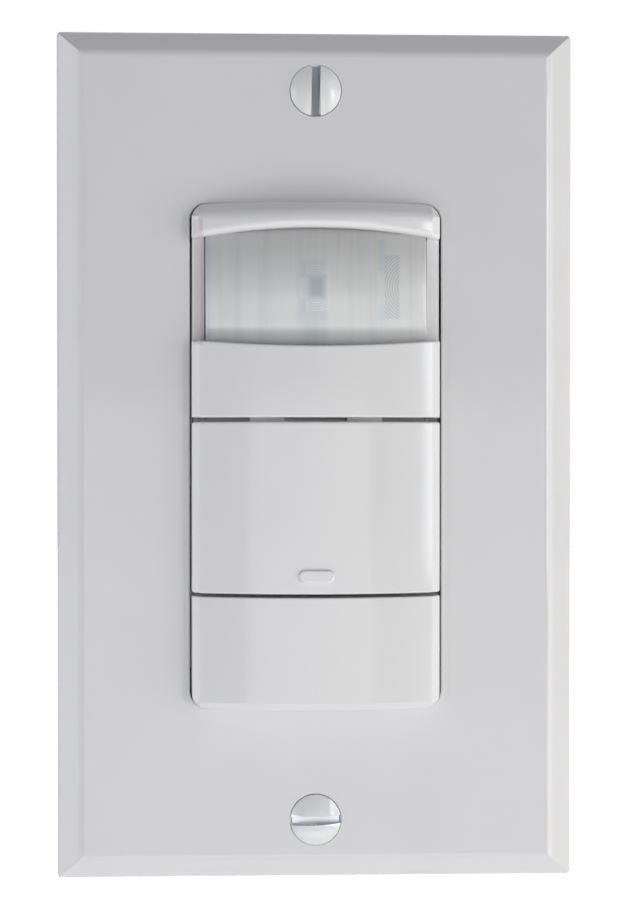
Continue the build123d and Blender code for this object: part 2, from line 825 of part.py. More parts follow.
def make_control_cover():
    """The lift-off cover: crowned cap with rounded lower corners and two tongues that grip the recess."""
    top = -button_bottom - cover_gap
    bottom = -face_height / 2
    foot = deck_rise + cover_seat_gap
    section = face_section(foot)
    outline = face_outline(foot)
    cap = crowned_bar(section, bottom + side_facet, top)
    cap = fillet(edges_across(cap, top, top, True), radius=end_round / 2) & outline
    cap += slanted_end(section, bottom + side_facet, -side_facet) & outline
    hollow = inner_section(foot - overrun, face_wall, inner_half)
    cap -= crowned_bar(hollow, bottom + face_wall, top - face_wall)
    tongue_outer = recess_half - tongue_gap
    tongue_top = crown_rise(recess_half, face_wall / 2)
    tongue_low = -dial_height - tongue_width / 2
    tongue_high = -dial_height + tongue_width / 2
    tongue_inner = tongue_outer - tongue_thickness
    tongue = block(tongue_inner, tongue_outer, tongue_rise, tongue_top, tongue_low, tongue_high)
    cap += tongue
    return cap + mirror(tongue, about=Plane.YZ)


def make_front_board():
    """Board behind the front, resting on the ledges of the rear housing."""
    half_height = front_board_half_height
    board = RectangleRounded(2 * front_board_half_width, 2 * half_height, front_board_corner)
    return upright(board, -front_board_depth - board_thickness, -front_board_depth)


def make_detector():
    """Metal can of the infrared detector, with its flange and the opening for the window."""
    foot = -front_board_depth
    top = foot + detector_rise
    can = peg(0, detector_height, detector_flange_radius, foot, foot + detector_flange)
    can += peg(0, detector_height, detector_radius, foot, top)
    can = chamfer(can.edges().group_by(Axis.Y)[0], length=detector_cap)
    opening = Rectangle(detector_window_width, detector_window_height)
    return can - upright(Pos(0, detector_height) * opening, top - detector_cap, top + overrun)


def make_detector_window():
    """Silicon filter lying in the opening of the can."""
    top = detector_rise - front_board_depth
    width = detector_window_width - 2 * window_gap
    height = detector_window_height - 2 * window_gap
    return upright(Pos(0, detector_height) * Rectangle(width, height), top - detector_cap, top - window_gap)


def make_photocell():
    """Flat ambient light sensor."""
    foot = -front_board_depth
    cell = peg(photocell_across, detector_height, photocell_radius, foot, foot + photocell_rise)
    return chamfer(cell.edges().group_by(Axis.Y)[0], length=photocell_chamfer)


def make_led():
    """Indicator lamp with a domed top and a flange."""
    foot = -front_board_depth
    straight = foot + led_rise - led_radius
    lamp = peg(led_across, detector_height, led_flange_radius, foot, foot + led_flange)
    lamp += peg(led_across, detector_height, led_radius, foot, straight)
    return lamp + Pos(led_across, -straight, detector_height) * Sphere(led_radius)


def make_switch():
    """Square body of the momentary switch with the bore that guides its plunger."""
    foot = -front_board_depth
    top = foot + switch_body
    square = Pos(0, -switch_height) * RectangleRounded(switch_size, switch_size, switch_corner)
    body = upright(square, foot, top)
    body += peg(0, -switch_height, plunger_radius + plunger_collar, top, top + plunger_collar)
    return body - peg(0, -switch_height, plunger_radius + plunger_gap, top - plunger_bore, top + overrun)


def make_plunger():
    """Long plunger of the momentary switch."""
    low = switch_body - front_board_depth - plunger_inside
    plunger = peg(0, -switch_height, plunger_radius, low, switch_total - front_board_depth)
    return chamfer(plunger.edges().group_by(Axis.Y)[0], length=plunger_chamfer)


def make_trimmer(x):
    """Square trimmer body with the bore that takes the dial's shaft."""
    foot = -front_board_depth
    top = foot + trimmer_rise
    body = upright(Pos(x, -dial_height) * Rectangle(trimmer_size, trimmer_size), foot, top)
    body = chamfer(body.edges().group_by(Axis.Y)[0], length=trimmer_chamfer)
    return body - peg(x, -dial_height, dial_shaft_radius + dial_gap, top - trimmer_bore_deep, top + overrun)


def make_dial(x):
    """Adjusting dial: fluted head with a screwdriver slot and an index notch, on a shaft."""
    head_low = recess_floor_rise + dial_seat_gap
    head_high = head_low + dial_head
    head = Circle(dial_radius)
    for step in range(dial_flutes):
        turn = 2 * math.pi * step / dial_flutes
        place = Pos(dial_radius * math.cos(turn), dial_radius * math.sin(turn))
        flute = dial_flute_radius * (2 if step == dial_flutes // 4 else 1)
        head -= place * Circle(flute)
    dial = upright(Pos(x, -dial_height) * head, head_low, head_high)
    shaft_low = trimmer_rise - front_board_depth - trimmer_bore_deep + dial_seat_gap
    dial += peg(x, -dial_height, dial_shaft_radius, shaft_low, head_low)
    slot = Pos(x, -dial_height) * Rectangle(dial_slot_width, 2 * dial_radius * dial_slot_share)
    return dial - upright(slot, head_high - dial_slot_deep, head_high + overrun)


def make_chip():
    """Control circuit in a flat package with its two rows of bent legs."""
    foot = -front_board_depth
    lift = chip_leg_thickness / 2
    package = Pos(chip_across, chip_height) * Rectangle(chip_width, chip_length)
    chip = upright(package, foot + lift, foot + chip_rise)
    first = chip_height - chip_pitch * (chip_legs - 1) / 2
    shelf_low = foot + chip_rise / 2 - lift
    shelf_high = foot + chip_rise / 2 + lift
    inner = chip_across + chip_width / 2
    knee = inner + chip_leg_reach / 2
    for step in range(chip_legs):
        z_low = first + chip_pitch * step - chip_leg_width / 2
        z_high = z_low + chip_leg_width
        leg = block(inner - lift, knee + lift, shelf_low, shelf_high, z_low, z_high)
        leg += block(knee - lift, knee + lift, foot, shelf_high, z_low, z_high)
        leg += block(knee, inner + chip_leg_reach, foot, foot + chip_leg_thickness, z_low, z_high)
        chip += leg
        chip += mirror(leg, about=Plane.YZ.offset(chip_across))
    return chip


def make_header():
    """Row of square pins between the two boards, with a moulded block at each end."""
    front_high = -front_board_depth - board_thickness
    back_low = -power_board_depth
    low = header_across - header_pitch / 2
    high = header_across + header_pitch / 2
    z_low = header_height - header_pins * header_pitch / 2
    z_high = header_height + header_pins * header_pitch / 2
    header = block(low, high, front_high - header_block, front_high, z_low, z_high)
    header += block(low, high, back_low, back_low + header_block, z_low, z_high)
    pin_low = header_across - header_pin / 2
    pin_high = header_across + header_pin / 2
    for step in range(header_pins):
        z = z_low + header_pitch * (step + 1 / 2)
        header += block(pin_low, pin_high, back_low, front_high, z - header_pin / 2, z + header_pin / 2)
    return header


def make_rear_body():
    """Moulded rear housing: open box with screw posts, board ledges, terminal pockets, stands and vents."""
    outside = RectangleRounded(body_width, body_height, body_corner)
    inner_width = body_width - 2 * body_wall
    inner_height = body_height - 2 * body_wall
    body = upright(outside, -body_deep, strap_lift)
    body = chamfer(body.edges().group_by(Axis.Y)[-1], length=body_chamfer)
    inside = RectangleRounded(inner_width, inner_height, body_corner - body_wall)
    body -= upright(inside, body_floor - body_deep, overrun)

    into_floor = body_floor / 2 - body_deep
    ledge_inner = inner_width / 2 - ledge_reach
    ledge_outer = inner_width / 2 + body_wall / 2
    ledge_rise = -front_board_depth - board_thickness - board_gap
    for z in ledge_heights:
        z_low = z - ledge_thickness / 2
        ledge = block(ledge_inner, ledge_outer, into_floor, ledge_rise, z_low, z_low + ledge_thickness)
        body += ledge
        body += mirror(ledge, about=Plane.YZ)
    for x, z in corner_places:
        body += peg(x, z, post_boss_radius, into_floor, strap_lift)
    stand_across = power_board_half_width - stand_side_inset
    stand_height = power_board_half_height - stand_end_inset
    stand_top = -power_board_depth - board_thickness - board_gap
    for x in (-stand_across, stand_across):
        for z in (-stand_height, stand_height):
            body += peg(x, z, stand_radius, into_floor, stand_top)

    for side, z in terminal_places:
        walls, hollow = terminal_pocket(z)
        body += walls if side > 0 else mirror(walls, about=Plane.YZ)
        body -= hollow if side > 0 else mirror(hollow, about=Plane.YZ)

    screw_end = strap_front - small_screw_length - overrun
    for x, z in corner_places:
        body -= peg(x, z, small_screw_radius + small_screw_gap, screw_end, overrun)
    for step in range(vent_count):
        x = vent_pitch * (step - (vent_count - 1) / 2)
        vent = Pos(x, 0) * SlotOverall(vent_length, vent_width, rotation=90)
        body -= upright(vent, -body_deep - overrun, body_floor + overrun - body_deep)
    return body


def terminal_pocket(z):
    """Walls and hollow of a terminal pocket in the right side, with the slot for the tail and the hole."""
    outer = body_width / 2 + overrun
    floor = body_width / 2 - pocket_deep
    inner = floor - pocket_wall
    z_low = z - pocket_width / 2
    z_high = z + pocket_width / 2
    into_side = body_width / 2 - body_wall / 2
    back = body_floor / 2 - body_deep
    front = pocket_wall - pocket_front
    walls = block(inner, into_side, back, front, z_low - pocket_wall, z_high + pocket_wall)
    hollow = block(floor, outer, -body_deep - overrun, -pocket_front, z_low, z_high)
    slot_half = terminal_tail_width / 2 + terminal_slot_gap
    slot_high = terminal_slot_gap - power_board_depth + terminal_thickness
    slot_start = inner - overrun
    slot_end = floor + overrun
    slot = block(slot_start, slot_end, -power_board_depth, slot_high, z - slot_half, z + slot_half)
    hole = Cylinder(binding_shank + binding_gap, pocket_wall + 2 * overrun)
    hollow += slot
    return walls, hollow + Pos((inner + floor) / 2, binding_depth, z) * Rot(0, 90, 0) * hole


def make_terminal_plate(side, z):
    """Brass terminal plate: tapped face in the side pocket and a bent tail that reaches the power board."""
    pocket_floor = body_width / 2 - pocket_deep
    back = pocket_floor + terminal_seat_gap
    front = back + terminal_thickness
    half = terminal_width / 2
    plate = block(back, front, -power_board_depth, -terminal_front, z - half, z + half)
    tail_high = terminal_thickness - power_board_depth
    tail_end = pocket_floor - terminal_tail_reach
    tail_half = terminal_tail_width / 2
    plate += block(tail_end, front, -power_board_depth, tail_high, z - tail_half, z + tail_half)
    hole = Cylinder(binding_shank + binding_gap, 4 * terminal_thickness)
    plate -= Pos(back, binding_depth, z) * Rot(0, 90, 0) * hole
    return plate if side > 0 else mirror(plate, about=Plane.YZ)


def make_binding_screw(side, z):
    """Binding-head terminal screw, backed off to take a wire."""
    under = body_width / 2 - pocket_deep + terminal_seat_gap + terminal_thickness + wire_space
    head = extrude(Circle(binding_radius), amount=binding_head)
    head = chamfer(head.edges().group_by(Axis.Z)[-1], length=binding_chamfer)
    slots = Rectangle(2 * binding_radius + overrun, slot_width) + Rectangle(slot_width, binding_radius)
    head -= Pos(0, 0, binding_head - binding_slot_deep) * extrude(slots, amount=slot_width)
    shank = extrude(Circle(binding_shank), amount=-binding_length)
    screw = Pos(under, binding_depth, z) * Rot(0, 90, 0) * (head + shank)
    return screw if side > 0 else mirror(screw, about=Plane.YZ)


def make_power_board():
    """Board in the rear housing with the mains parts on it."""
    half_height = power_board_half_height
    board = RectangleRounded(2 * power_board_half_width, 2 * half_height, front_board_corner)
    return upright(board, -power_board_depth - board_thickness, -power_board_depth)


def make_relay():
    """Sealed power relay with softened top edges."""
    foot = -power_board_depth
    outline = Pos(relay_across, relay_bottom + relay_length / 2) * Rectangle(relay_width, relay_length)
    case = upright(outline, foot, foot + board_space - relay_top_gap)
    return chamfer(case.edges().group_by(Axis.Y)[0], length=relay_edge)


def make_film_capacitor():
    """Boxed film capacitor."""
    foot = -power_board_depth
    outline = Pos(film_across, film_height) * Rectangle(film_width, film_length)
    case = upright(outline, foot, foot + board_space - film_top_gap)
    return chamfer(case.edges().group_by(Axis.Y)[0], length=relay_edge)


def make_filter_capacitor():
    """Electrolytic can with the rolled groove above its seal."""
    foot = -power_board_depth
    top = foot + board_space - can_top_gap
    groove = foot + can_groove_place
    half_outline = [
        (0, foot),
        (can_radius, foot),
        (can_radius, groove - can_groove),
        (can_radius - can_groove, groove),
        (can_radius, groove + can_groove),
        (can_radius, top - can_groove),
        (can_radius - can_groove, top),
        (0, top),
    ]
    return turned(half_outline, can_across, can_height)


def make_choke():
    """Drum core choke: two flanges with the winding between them."""
    foot = -power_board_depth
    top = foot + choke_tall
    half_outline = [
        (0, foot),
        (choke_radius, foot),
        (choke_radius, foot + choke_flange),
        (choke_waist, foot + choke_flange),
        (choke_waist, top - choke_flange),
        (choke_radius, top - choke_flange),
        (choke_radius, top),
        (0, top),
    ]
    return turned(half_outline, choke_across, choke_height)


def make_varistor():
    """Surge disc standing on edge on its two leads."""
    foot = -power_board_depth
    middle = foot + disc_lift + disc_radius
    disc = Pos(disc_across, -middle, disc_height) * Cylinder(disc_radius, disc_thickness)
    disc = chamfer(disc.edges().filter_by(GeomType.CIRCLE), length=disc_edge)
    z_low = disc_height - header_pin / 2
    for x in (disc_across - disc_radius / 2, disc_across + disc_radius / 2):
        disc += block(x - header_pin / 2, x + header_pin / 2, foot, middle, z_low, z_low + header_pin)
    return disc


def group(pieces):
    """Keeps several separate solids together as one node."""
    return Compound(children=[piece.solid() for piece in pieces])


top_plate_screw = oval_screw(plate_screw_pitch / 2, top_slot_turn)
bottom_plate_screw = oval_screw(-plate_screw_pitch / 2, bottom_slot_turn)

nodes = {
    "wall_plate": make_wall_plate(),
    "plate_screws": group([top_plate_screw, bottom_plate_screw]),
    "mounting_strap": make_strap(),
    "box_screws": group([make_box_screw(z) for z in box_places]),
    "screw_retainers": group([make_retainer(z) for z in box_places]),
    "body_screws": group([make_body_screw(x, z) for x, z in corner_places]),
    "ground_screw": make_ground_screw(),
    "front_frame": make_front_frame(),
    "lens": make_lens(),
    "push_button": make_push_button(),
    "control_cover": make_control_cover(),
    "front_board": make_front_board(),
    "pir_detector": make_detector(),
    "pir_window": make_detector_window(),
    "photocell": make_photocell(),
    "indicator_led": make_led(),
    "tact_switch": make_switch(),
    "switch_plunger": make_plunger(),
    "trimmers": group([make_trimmer(x) for x in dial_places.values()]),
    "controller_chip": make_chip(),
    "board_header": make_header(),
    "rear_body": make_rear_body(),
    "terminal_plates": group([make_terminal_plate(side, z) for side, z in terminal_places]),
    "hot_screws": group([make_binding_screw(side, z) for side, z in hot_places]),
    "neutral_screw": group([make_binding_screw(side, z) for side, z in neutral_places]),
    "power_board": make_power_board(),
    "relay": make_relay(),
    "film_capacitor": make_film_capacitor(),
    "filter_capacitor": make_filter_capacitor(),
    "choke": make_choke(),
    "varistor": make_varistor(),
}
for name, x in dial_places.items():
    nodes[name] = make_dial(x)

os.makedirs("parts", exist_ok=True)
for name, shape in nodes.items():
    export_step(shape, f"parts/{name}.step")
    print(name, len(shape.solids()), round(sum(solid.volume for solid in shape.solids()), 2))

press_lever = pivot_height + switch_height
print("press angle in degrees", round(math.degrees(press_travel / press_lever), 3))
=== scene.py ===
import math

import bmesh
import bpy
from mathutils import Matrix, Vector


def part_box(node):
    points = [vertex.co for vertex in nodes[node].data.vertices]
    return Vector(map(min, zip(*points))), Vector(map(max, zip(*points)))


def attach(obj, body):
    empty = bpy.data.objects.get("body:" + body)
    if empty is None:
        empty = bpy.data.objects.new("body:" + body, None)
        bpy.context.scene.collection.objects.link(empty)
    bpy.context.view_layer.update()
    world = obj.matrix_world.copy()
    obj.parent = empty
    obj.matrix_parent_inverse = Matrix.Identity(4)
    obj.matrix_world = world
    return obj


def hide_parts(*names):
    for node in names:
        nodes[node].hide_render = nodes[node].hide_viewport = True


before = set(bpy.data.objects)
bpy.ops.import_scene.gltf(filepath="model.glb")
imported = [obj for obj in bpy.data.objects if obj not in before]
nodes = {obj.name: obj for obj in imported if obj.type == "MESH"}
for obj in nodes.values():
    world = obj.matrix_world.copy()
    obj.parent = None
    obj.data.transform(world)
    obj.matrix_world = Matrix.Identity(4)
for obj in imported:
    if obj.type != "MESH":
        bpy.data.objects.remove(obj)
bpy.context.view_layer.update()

# Wall plate: one-gang decorator plate pressed from white urea plastic in a polished mould. It is hollow
# behind, its rim lies on the wall, and two screws hold it to the strap.


def linear(code):
    """Turns an sRGB hex colour into linear colour values."""
    shares = [int(code[at:at + 2], 16) / 255 for at in (1, 3, 5)]
    return [s / 12.92 if s <= 0.04045 else ((s + 0.055) / 1.055) ** 2.4 for s in shares] + [1]


def add(tree, kind, settings=(), links=(), **properties):
    """Adds one node with its properties, its socket values and the sockets that feed it."""
    node = tree.nodes.new(kind)
    for name, value in properties.items():
        setattr(node, name, value)
    for socket, value in dict(settings).items():
        node.inputs[socket].default_value = value
    for socket, source in dict(links).items():
        tree.links.new(source, node.inputs[socket])
    return node


def start_material(name, **settings):
    """A new material, its node tree, its shader with its own sockets set, and the piece's coordinates."""
    material = bpy.data.materials.new(name)
    material.use_nodes = True
    tree = material.node_tree
    shader = tree.nodes["Principled BSDF"]
    for socket, value in settings.items():
        shader.inputs[socket.replace("_", " ")].default_value = value
    return material, tree, shader, add(tree, "ShaderNodeTexCoord").outputs["Object"]


def finish_nodes(material, *names):
    """Puts one material on every slot of carried-over CAD nodes."""
    for name in names:
        for slot in nodes[name].material_slots:
            slot.material = material


def clouds(tree, place, size, low, high):
    """Soft clouds of two close colours, about as large as the size in metres."""
    noise = add(tree, "ShaderNodeTexNoise", {"Scale": 1 / size, "Detail": 3}, {"Vector": place})
    return add(
        tree, "ShaderNodeMix", {"A": linear(low), "B": linear(high)},
        {"Factor": noise.outputs["Fac"]}, data_type="RGBA",
    ).outputs["Result"]


def within(tree, place, middle, half, soft, turn=0):
    """A mask: one inside a box about a middle point, in metres, and nought outside it."""
    centred = add(
        tree, "ShaderNodeMapping", {"Location": middle, "Rotation": (0, turn, 0)}, {"Vector": place},
        vector_type="TEXTURE",
    )
    size = add(tree, "ShaderNodeVectorMath", links={0: centred.outputs[0]}, operation="ABSOLUTE")
    past = add(tree, "ShaderNodeVectorMath", {1: half}, {0: size.outputs[0]}, operation="SUBTRACT")
    apart = add(tree, "ShaderNodeSeparateXYZ", links={0: past.outputs[0]})
    most = apart.outputs[0]
    for other in apart.outputs[1:]:
        most = add(tree, "ShaderNodeMath", links={0: most, 1: other}, operation="MAXIMUM").outputs[0]
    return add(
        tree, "ShaderNodeMapRange", {"From Min": soft, "From Max": -soft}, {"Value": most}
    ).outputs["Result"]


def lay_colours(tree, shader, ground, *layers):
    """Colours the surface: a ground, then hex colours over it, each where its mask is one."""
    for mask, code in layers:
        ground = add(
            tree, "ShaderNodeMix", {"B": linear(code)}, {"Factor": mask, "A": ground},
            data_type="RGBA",
        ).outputs["Result"]
    tree.links.new(ground, shader.inputs["Base Color"])


def grain(tree, shader, place, size, depth, detail=2, strength=1.0, edge_radius=None):
    """Roughens the surface with grains of a real size and depth, and softens its edges by a radius."""
    grains = add(tree, "ShaderNodeTexNoise", {"Scale": 1 / size, "Detail": detail}, {"Vector": place})
    links = {"Height": grains.outputs["Fac"]}
    if edge_radius:
        softened = add(tree, "ShaderNodeBevel", {"Radius": edge_radius}, samples=4)
        links["Normal"] = softened.outputs[0]
    raised = add(tree, "ShaderNodeBump", {"Strength": strength, "Distance": depth}, links)
    tree.links.new(raised.outputs["Normal"], shader.inputs["Normal"])


# Urea moulding: hard and glossy, near-white with a cool cast, and an even orange peel too slight to see
# except in reflections. Waves 4 mm long stand for the peel and for flow in the mould. The wall of the
# opening below the face is painted dark grey, as painted shade in the deep gap round the device.
moulded_edge = 0.00012
peel = {"size": 0.004, "depth": 0.0002, "detail": 1, "strength": 0.03, "edge_radius": moulded_edge}
urea, tree, shader, place = start_material("urea_moulded_gloss_white", Roughness=0.11, IOR=1.53)
opening_wall_shade = within(
    tree, place, middle=(0, -0.0026, 0), half=(0.0173, 0.0027, 0.0333), soft=0.0001
)
flow = clouds(tree, place, size=0.012, low="#D1D0D2", high="#D6D5D7")
# Painted shade: the opening wall's dark grey stands for the shadow in the gap.
lay_colours(tree, shader, flow, (opening_wall_shade, "#4A4847"))
grain(tree, shader, place, **peel)
finish_nodes(urea, "wall_plate")

# Plate screws: two oval-head slotted 6-32 screws of steel, driven through the plate into the strap. Their
# threads are rolled, and their heads are sprayed white to match the plate.
screw_height = 0.04842
slot_level = -0.0058
slot_half = (0.00056, 0.0012, 0.0034)
slot_edge = 0.00003
upper_turn = math.radians(2.1)
lower_turn = math.radians(92.5)

# Sprayed enamel: glossy, with a fine spatter. The driver has worn it out of the slots, so that satin grey
# steel shows there. The lower slot's steel is painted lighter than the upper one's, as painted light.
# The shanks are bare too.
painted_steel, tree, shader, place = start_material("steel_sprayed_gloss_white", IOR=1.5)
upper_slot = within(tree, place, (0, slot_level, screw_height), slot_half, slot_edge, upper_turn)
lower_slot = within(tree, place, (0, slot_level, -screw_height), slot_half, slot_edge, lower_turn)
shank = within(tree, place, middle=(0, 0.003, 0), half=(0.01, 0.0052, 0.06), soft=0.00003)
paint = clouds(tree, place, size=0.002, low="#D8D9DA", high="#DEDFE0")
# Painted light: the lower slot's grey is lighter than the upper slot's for the light it catches.
lay_colours(
    tree, shader, paint, (upper_slot, "#777B82"), (lower_slot, "#B4B8BC"), (shank, "#A9ACAE")
)
slots = add(tree, "ShaderNodeMath", links={0: upper_slot, 1: lower_slot}, operation="MAXIMUM")
bare = add(tree, "ShaderNodeMath", links={0: slots.outputs[0], 1: shank}, operation="MAXIMUM")
tree.links.new(bare.outputs[0], shader.inputs["Metallic"])
paint_roughness, steel_roughness = 0.14, 0.42
dullness = add(
    tree, "ShaderNodeMapRange", {"To Min": paint_roughness, "To Max": steel_roughness},
    {"Value": bare.outputs[0]},
)
tree.links.new(dullness.outputs["Result"], shader.inputs["Roughness"])
grain(tree, shader, place, size=0.0006, depth=0.00001)

# Every screw of the switch has 32 turns to the inch. Four levels a turn draw the flanks of its thread.
thread_pitch = 0.000794
thread_depth = 0.00038
levels_in_pitch = 4
shank_tolerance = 0.00002
merge_distance = 1e-7
thread_crease = math.radians(35)
large_shank = 0.00175


def cut_thread(name, material, axis, radius, places, first, last):
    """Puts screws with a right-hand thread, sunk into their plain CAD shanks, in place of a node."""
    shape = bmesh.new()
    shape.from_mesh(nodes[name].data)
    bmesh.ops.remove_doubles(shape, verts=shape.verts, dist=merge_distance)
    along = Vector([index == axis for index in range(3)])
    right, up = (axis + 1) % 3, (axis + 2) % 3
    levels = round((last - first) / thread_pitch * levels_in_pitch)
    for level in range(1, levels):
        everything = shape.verts[:] + shape.edges[:] + shape.faces[:]
        plane = along * (first + (last - first) * level / levels)
        bmesh.ops.bisect_plane(shape, geom=everything, plane_co=plane, plane_no=along, dist=1e-8)
    for vert in shape.verts:
        from_end = min(vert.co[axis] - first, last - vert.co[axis])
        for middle in places:
            off = vert.co - Vector(middle)
            reach = math.hypot(off[right], off[up])
            if from_end > 0 and abs(reach - radius) < shank_tolerance:
                turns = vert.co[axis] / thread_pitch - math.atan2(off[up], off[right]) / math.tau
                run_out = min(1, from_end / thread_pitch)
                sunk = thread_depth * abs(2 * (turns % 1) - 1) * run_out
                vert.co[right] -= off[right] / reach * sunk
                vert.co[up] -= off[up] / reach * sunk
    mesh = bpy.data.meshes.new(name + "_threaded")
    shape.to_mesh(mesh)
    shape.free()
    # The copied mesh still carries the shading of the plain shank, which would hide the thread.
    carried = mesh.attributes.get("custom_normal")
    if carried:
        mesh.attributes.remove(carried)
    mesh.shade_smooth()
    mesh.set_sharp_from_angle(angle=thread_crease)
    mesh.materials.clear()
    mesh.materials.append(material)
    screws = bpy.data.objects.new(name + "_threaded", mesh)
    bpy.context.scene.collection.objects.link(screws)
    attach(screws, "housing")
    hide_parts(name)


cut_thread(
    "plate_screws", painted_steel, axis=1, radius=large_shank,
    places=[(0, 0, screw_height), (0, 0, -screw_height)], first=-0.00385, last=0.0066,
)

# Mounting strap: a blank of cold-rolled steel, pierced, tapped and bent, then zinc plated in a barrel. It
# carries the switch and the plate, and two box screws hold it to the wall box.
rolling_width = 0.0004
rolling_depth = 0.00003
rolling_stretch = (1, 1, 0.06)

# Zinc plating: satin and cool, clouded by its clear passivation, with fine upright lines from rolling.
zinc_steel, tree, shader, place = start_material("steel_rolled_zinc_plated", Metallic=1)
lay_colours(tree, shader, clouds(tree, place, size=0.006, low="#A4A9AD", high="#BBBDBC"))
stretched = add(tree, "ShaderNodeMapping", {"Scale": rolling_stretch}, {"Vector": place})
rolling = add(
    tree, "ShaderNodeTexNoise", {"Scale": 1 / rolling_width, "Detail": 2},
    {"Vector": stretched.outputs[0]},
)
sheen = add(
    tree, "ShaderNodeMapRange", {"To Min": 0.26, "To Max": 0.42}, {"Value": rolling.outputs["Fac"]}
)
tree.links.new(sheen.outputs["Result"], shader.inputs["Roughness"])
lines = add(
    tree, "ShaderNodeBump", {"Strength": 0.5, "Distance": rolling_depth},
    {"Height": rolling.outputs["Fac"]},
)
tree.links.new(lines.outputs["Normal"], shader.inputs["Normal"])
finish_nodes(zinc_steel, "mounting_strap")

# Box screws, body screws and ground screw: cold-headed steel with rolled threads. Two hold the strap to
# the wall box, four draw the rear housing to the strap, and a hexagon screw takes the earth wire.
drawn = {"size": 0.0003, "depth": 0.00001}
small_shank = 0.00145
box_places = [(0, 0, 0.04167), (0, 0, -0.04167)]
body_places = [(x, 0, z) for x in (-0.0192, 0.0192) for z in (-0.0332, 0.0332)]
ground_places = [(0, 0.0046, -0.042)]

# Bright zinc: a clean silver with a faint warm cloud, smooth but for the marks of the dies.
zinc_screw, tree, shader, place = start_material(
    "steel_rolled_thread_bright_zinc", Metallic=1, Roughness=0.3
)
lay_colours(tree, shader, clouds(tree, place, size=0.0015, low="#B4B7B8", high="#C8C9C6"))
grain(tree, shader, place, **drawn)
cut_thread(
    "box_screws", zinc_screw, axis=1, radius=large_shank, places=box_places,
    first=0.00105, last=0.0172,
)
cut_thread(
    "body_screws", zinc_screw, axis=1, radius=small_shank, places=body_places,
    first=-0.0013, last=0.0127,
)

# Zinc dyed green, as the trade marks an earth: a metallic green that pales where the dye is thin.
green_screw, tree, shader, place = start_material(
    "steel_zinc_plated_dyed_green", Metallic=1, Roughness=0.34
)
lay_colours(tree, shader, clouds(tree, place, size=0.001, low="#2E7A4B", high="#3F9160"))
grain(tree, shader, place, **drawn)
cut_thread(
    "ground_screw", green_screw, axis=0, radius=large_shank, places=ground_places,
    first=-0.0165, last=-0.0085,
)

# Screw retainers: two squares punched from vulcanised fibre, a hard brown paper board. They are pushed
# over the necks of the box screws behind the strap, so that these stay in it.
fibre_length = 0.00025
fibre_depth = 0.00006

# Vulcanised fibre: dull brown, mottled, with short matt fibres on its faces and cut edges.
fibre, tree, shader, place = start_material(
    "fibre_vulcanised_punched_brown", Roughness=0.75, IOR=1.5
)
lay_colours(tree, shader, clouds(tree, place, size=0.0008, low="#6B4A36", high="#8A6850"))
strands = add(
    tree, "ShaderNodeTexNoise", {"Scale": 1 / fibre_length, "Detail": 4, "Distortion": 1.5},
    {"Vector": place},
)
matted = add(tree, "ShaderNodeBump", {"Distance": fibre_depth}, {"Height": strands.outputs["Fac"]})
tree.links.new(matted.outputs["Normal"], shader.inputs["Normal"])
finish_nodes(fibre, "screw_retainers")

# Front frame, push-button and lift-off cover: moulded from glossy white plastic. The frame fills the
# opening of the plate, the button swings on two trunnions in it, and two tongues hold the cover.
lip_middle = 0.0118
lip_level = (-0.005, 0.0072)
lip_half = (0.0031, 0.0029, 0.0030)

# Moulded gloss plastic: a shade lighter than the plate, with the same slight peel. The two lips of the
# button under the panel are painted dark grey, as painted shade in the gap there, and the left rail of
# the window is painted a warm grey, as painted shade where it lies deep beside the lens.
device_white, tree, shader, place = start_material("abs_moulded_gloss_white", Roughness=0.10, IOR=1.54)
left_lip, right_lip = [
    within(tree, place, middle=(x, *lip_level), half=lip_half, soft=0.0001)
    for x in (-lip_middle, lip_middle)
]
lips_shade = add(tree, "ShaderNodeMath", links={0: left_lip, 1: right_lip}, operation="MAXIMUM")
left_rail_shade = within(
    tree, place, middle=(-0.0155, -0.005, 0.0228), half=(0.00068, 0.0035, 0.0082), soft=0.00015
)
plastic = clouds(tree, place, size=0.010, low="#D9D8DA", high="#DEDDDE")
# Painted shade: the dark grey on the lips and the warm grey on the left rail.
lay_colours(tree, shader, plastic, (lips_shade.outputs[0], "#838180"), (left_rail_shade, "#CCC6C8"))
grain(tree, shader, place, **peel)
finish_nodes(device_white, "front_frame", "push_button", "control_cover")

# Lens: a curved sheet of milky polyethylene, smooth outside, with fields of fine ring grooves pressed
# into its inner face and its sides turned back. It is sprung into the window a little askew, so that a
# thin dark gap shows along its left side, and its right side lies against the rail.
lens_wall = 0.0007
lens_crest = 0.00835
crown_radius = 0.06605
crown_steps = 20
bend_start = 0.01395
bend_radius = 0.0025
bend_end = math.radians(22)
bend_steps = 6
corner_end = math.pi / 2
corner_steps = 8
left_half = 0.01459
right_half = 0.01467
askew = math.radians(-0.25)
low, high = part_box("lens")


def half_profile(side, half):
    """Outside of the lens from its middle to one foot, as x and y: crown, soft bend, corner, side."""
    points = []
    for step in range(crown_steps + 1):
        x = side * bend_start * step / crown_steps
        points.append((x, math.sqrt(crown_radius**2 - x**2) - crown_radius))
    x, drop = bend_start, points[-1][1]
    angle = math.asin(bend_start / crown_radius)
    bends = ((bend_steps, bend_end, bend_radius), (corner_steps, corner_end, None))
    for count, last, radius in bends:
        # The corner has no radius of its own. It takes up what is left of the half width.
        radius = radius or (half - x) / (1 - math.sin(angle))
        first = angle
        for step in range(count):
            following = first + (last - first) * (step + 1) / count
            x += radius * (math.sin(following) - math.sin(angle))
            drop += radius * (math.cos(following) - math.cos(angle))
            angle = following
            points.append((side * x, drop))
    return [(x, -(lens_crest + drop)) for x, drop in points] + [(side * half, high.y)]


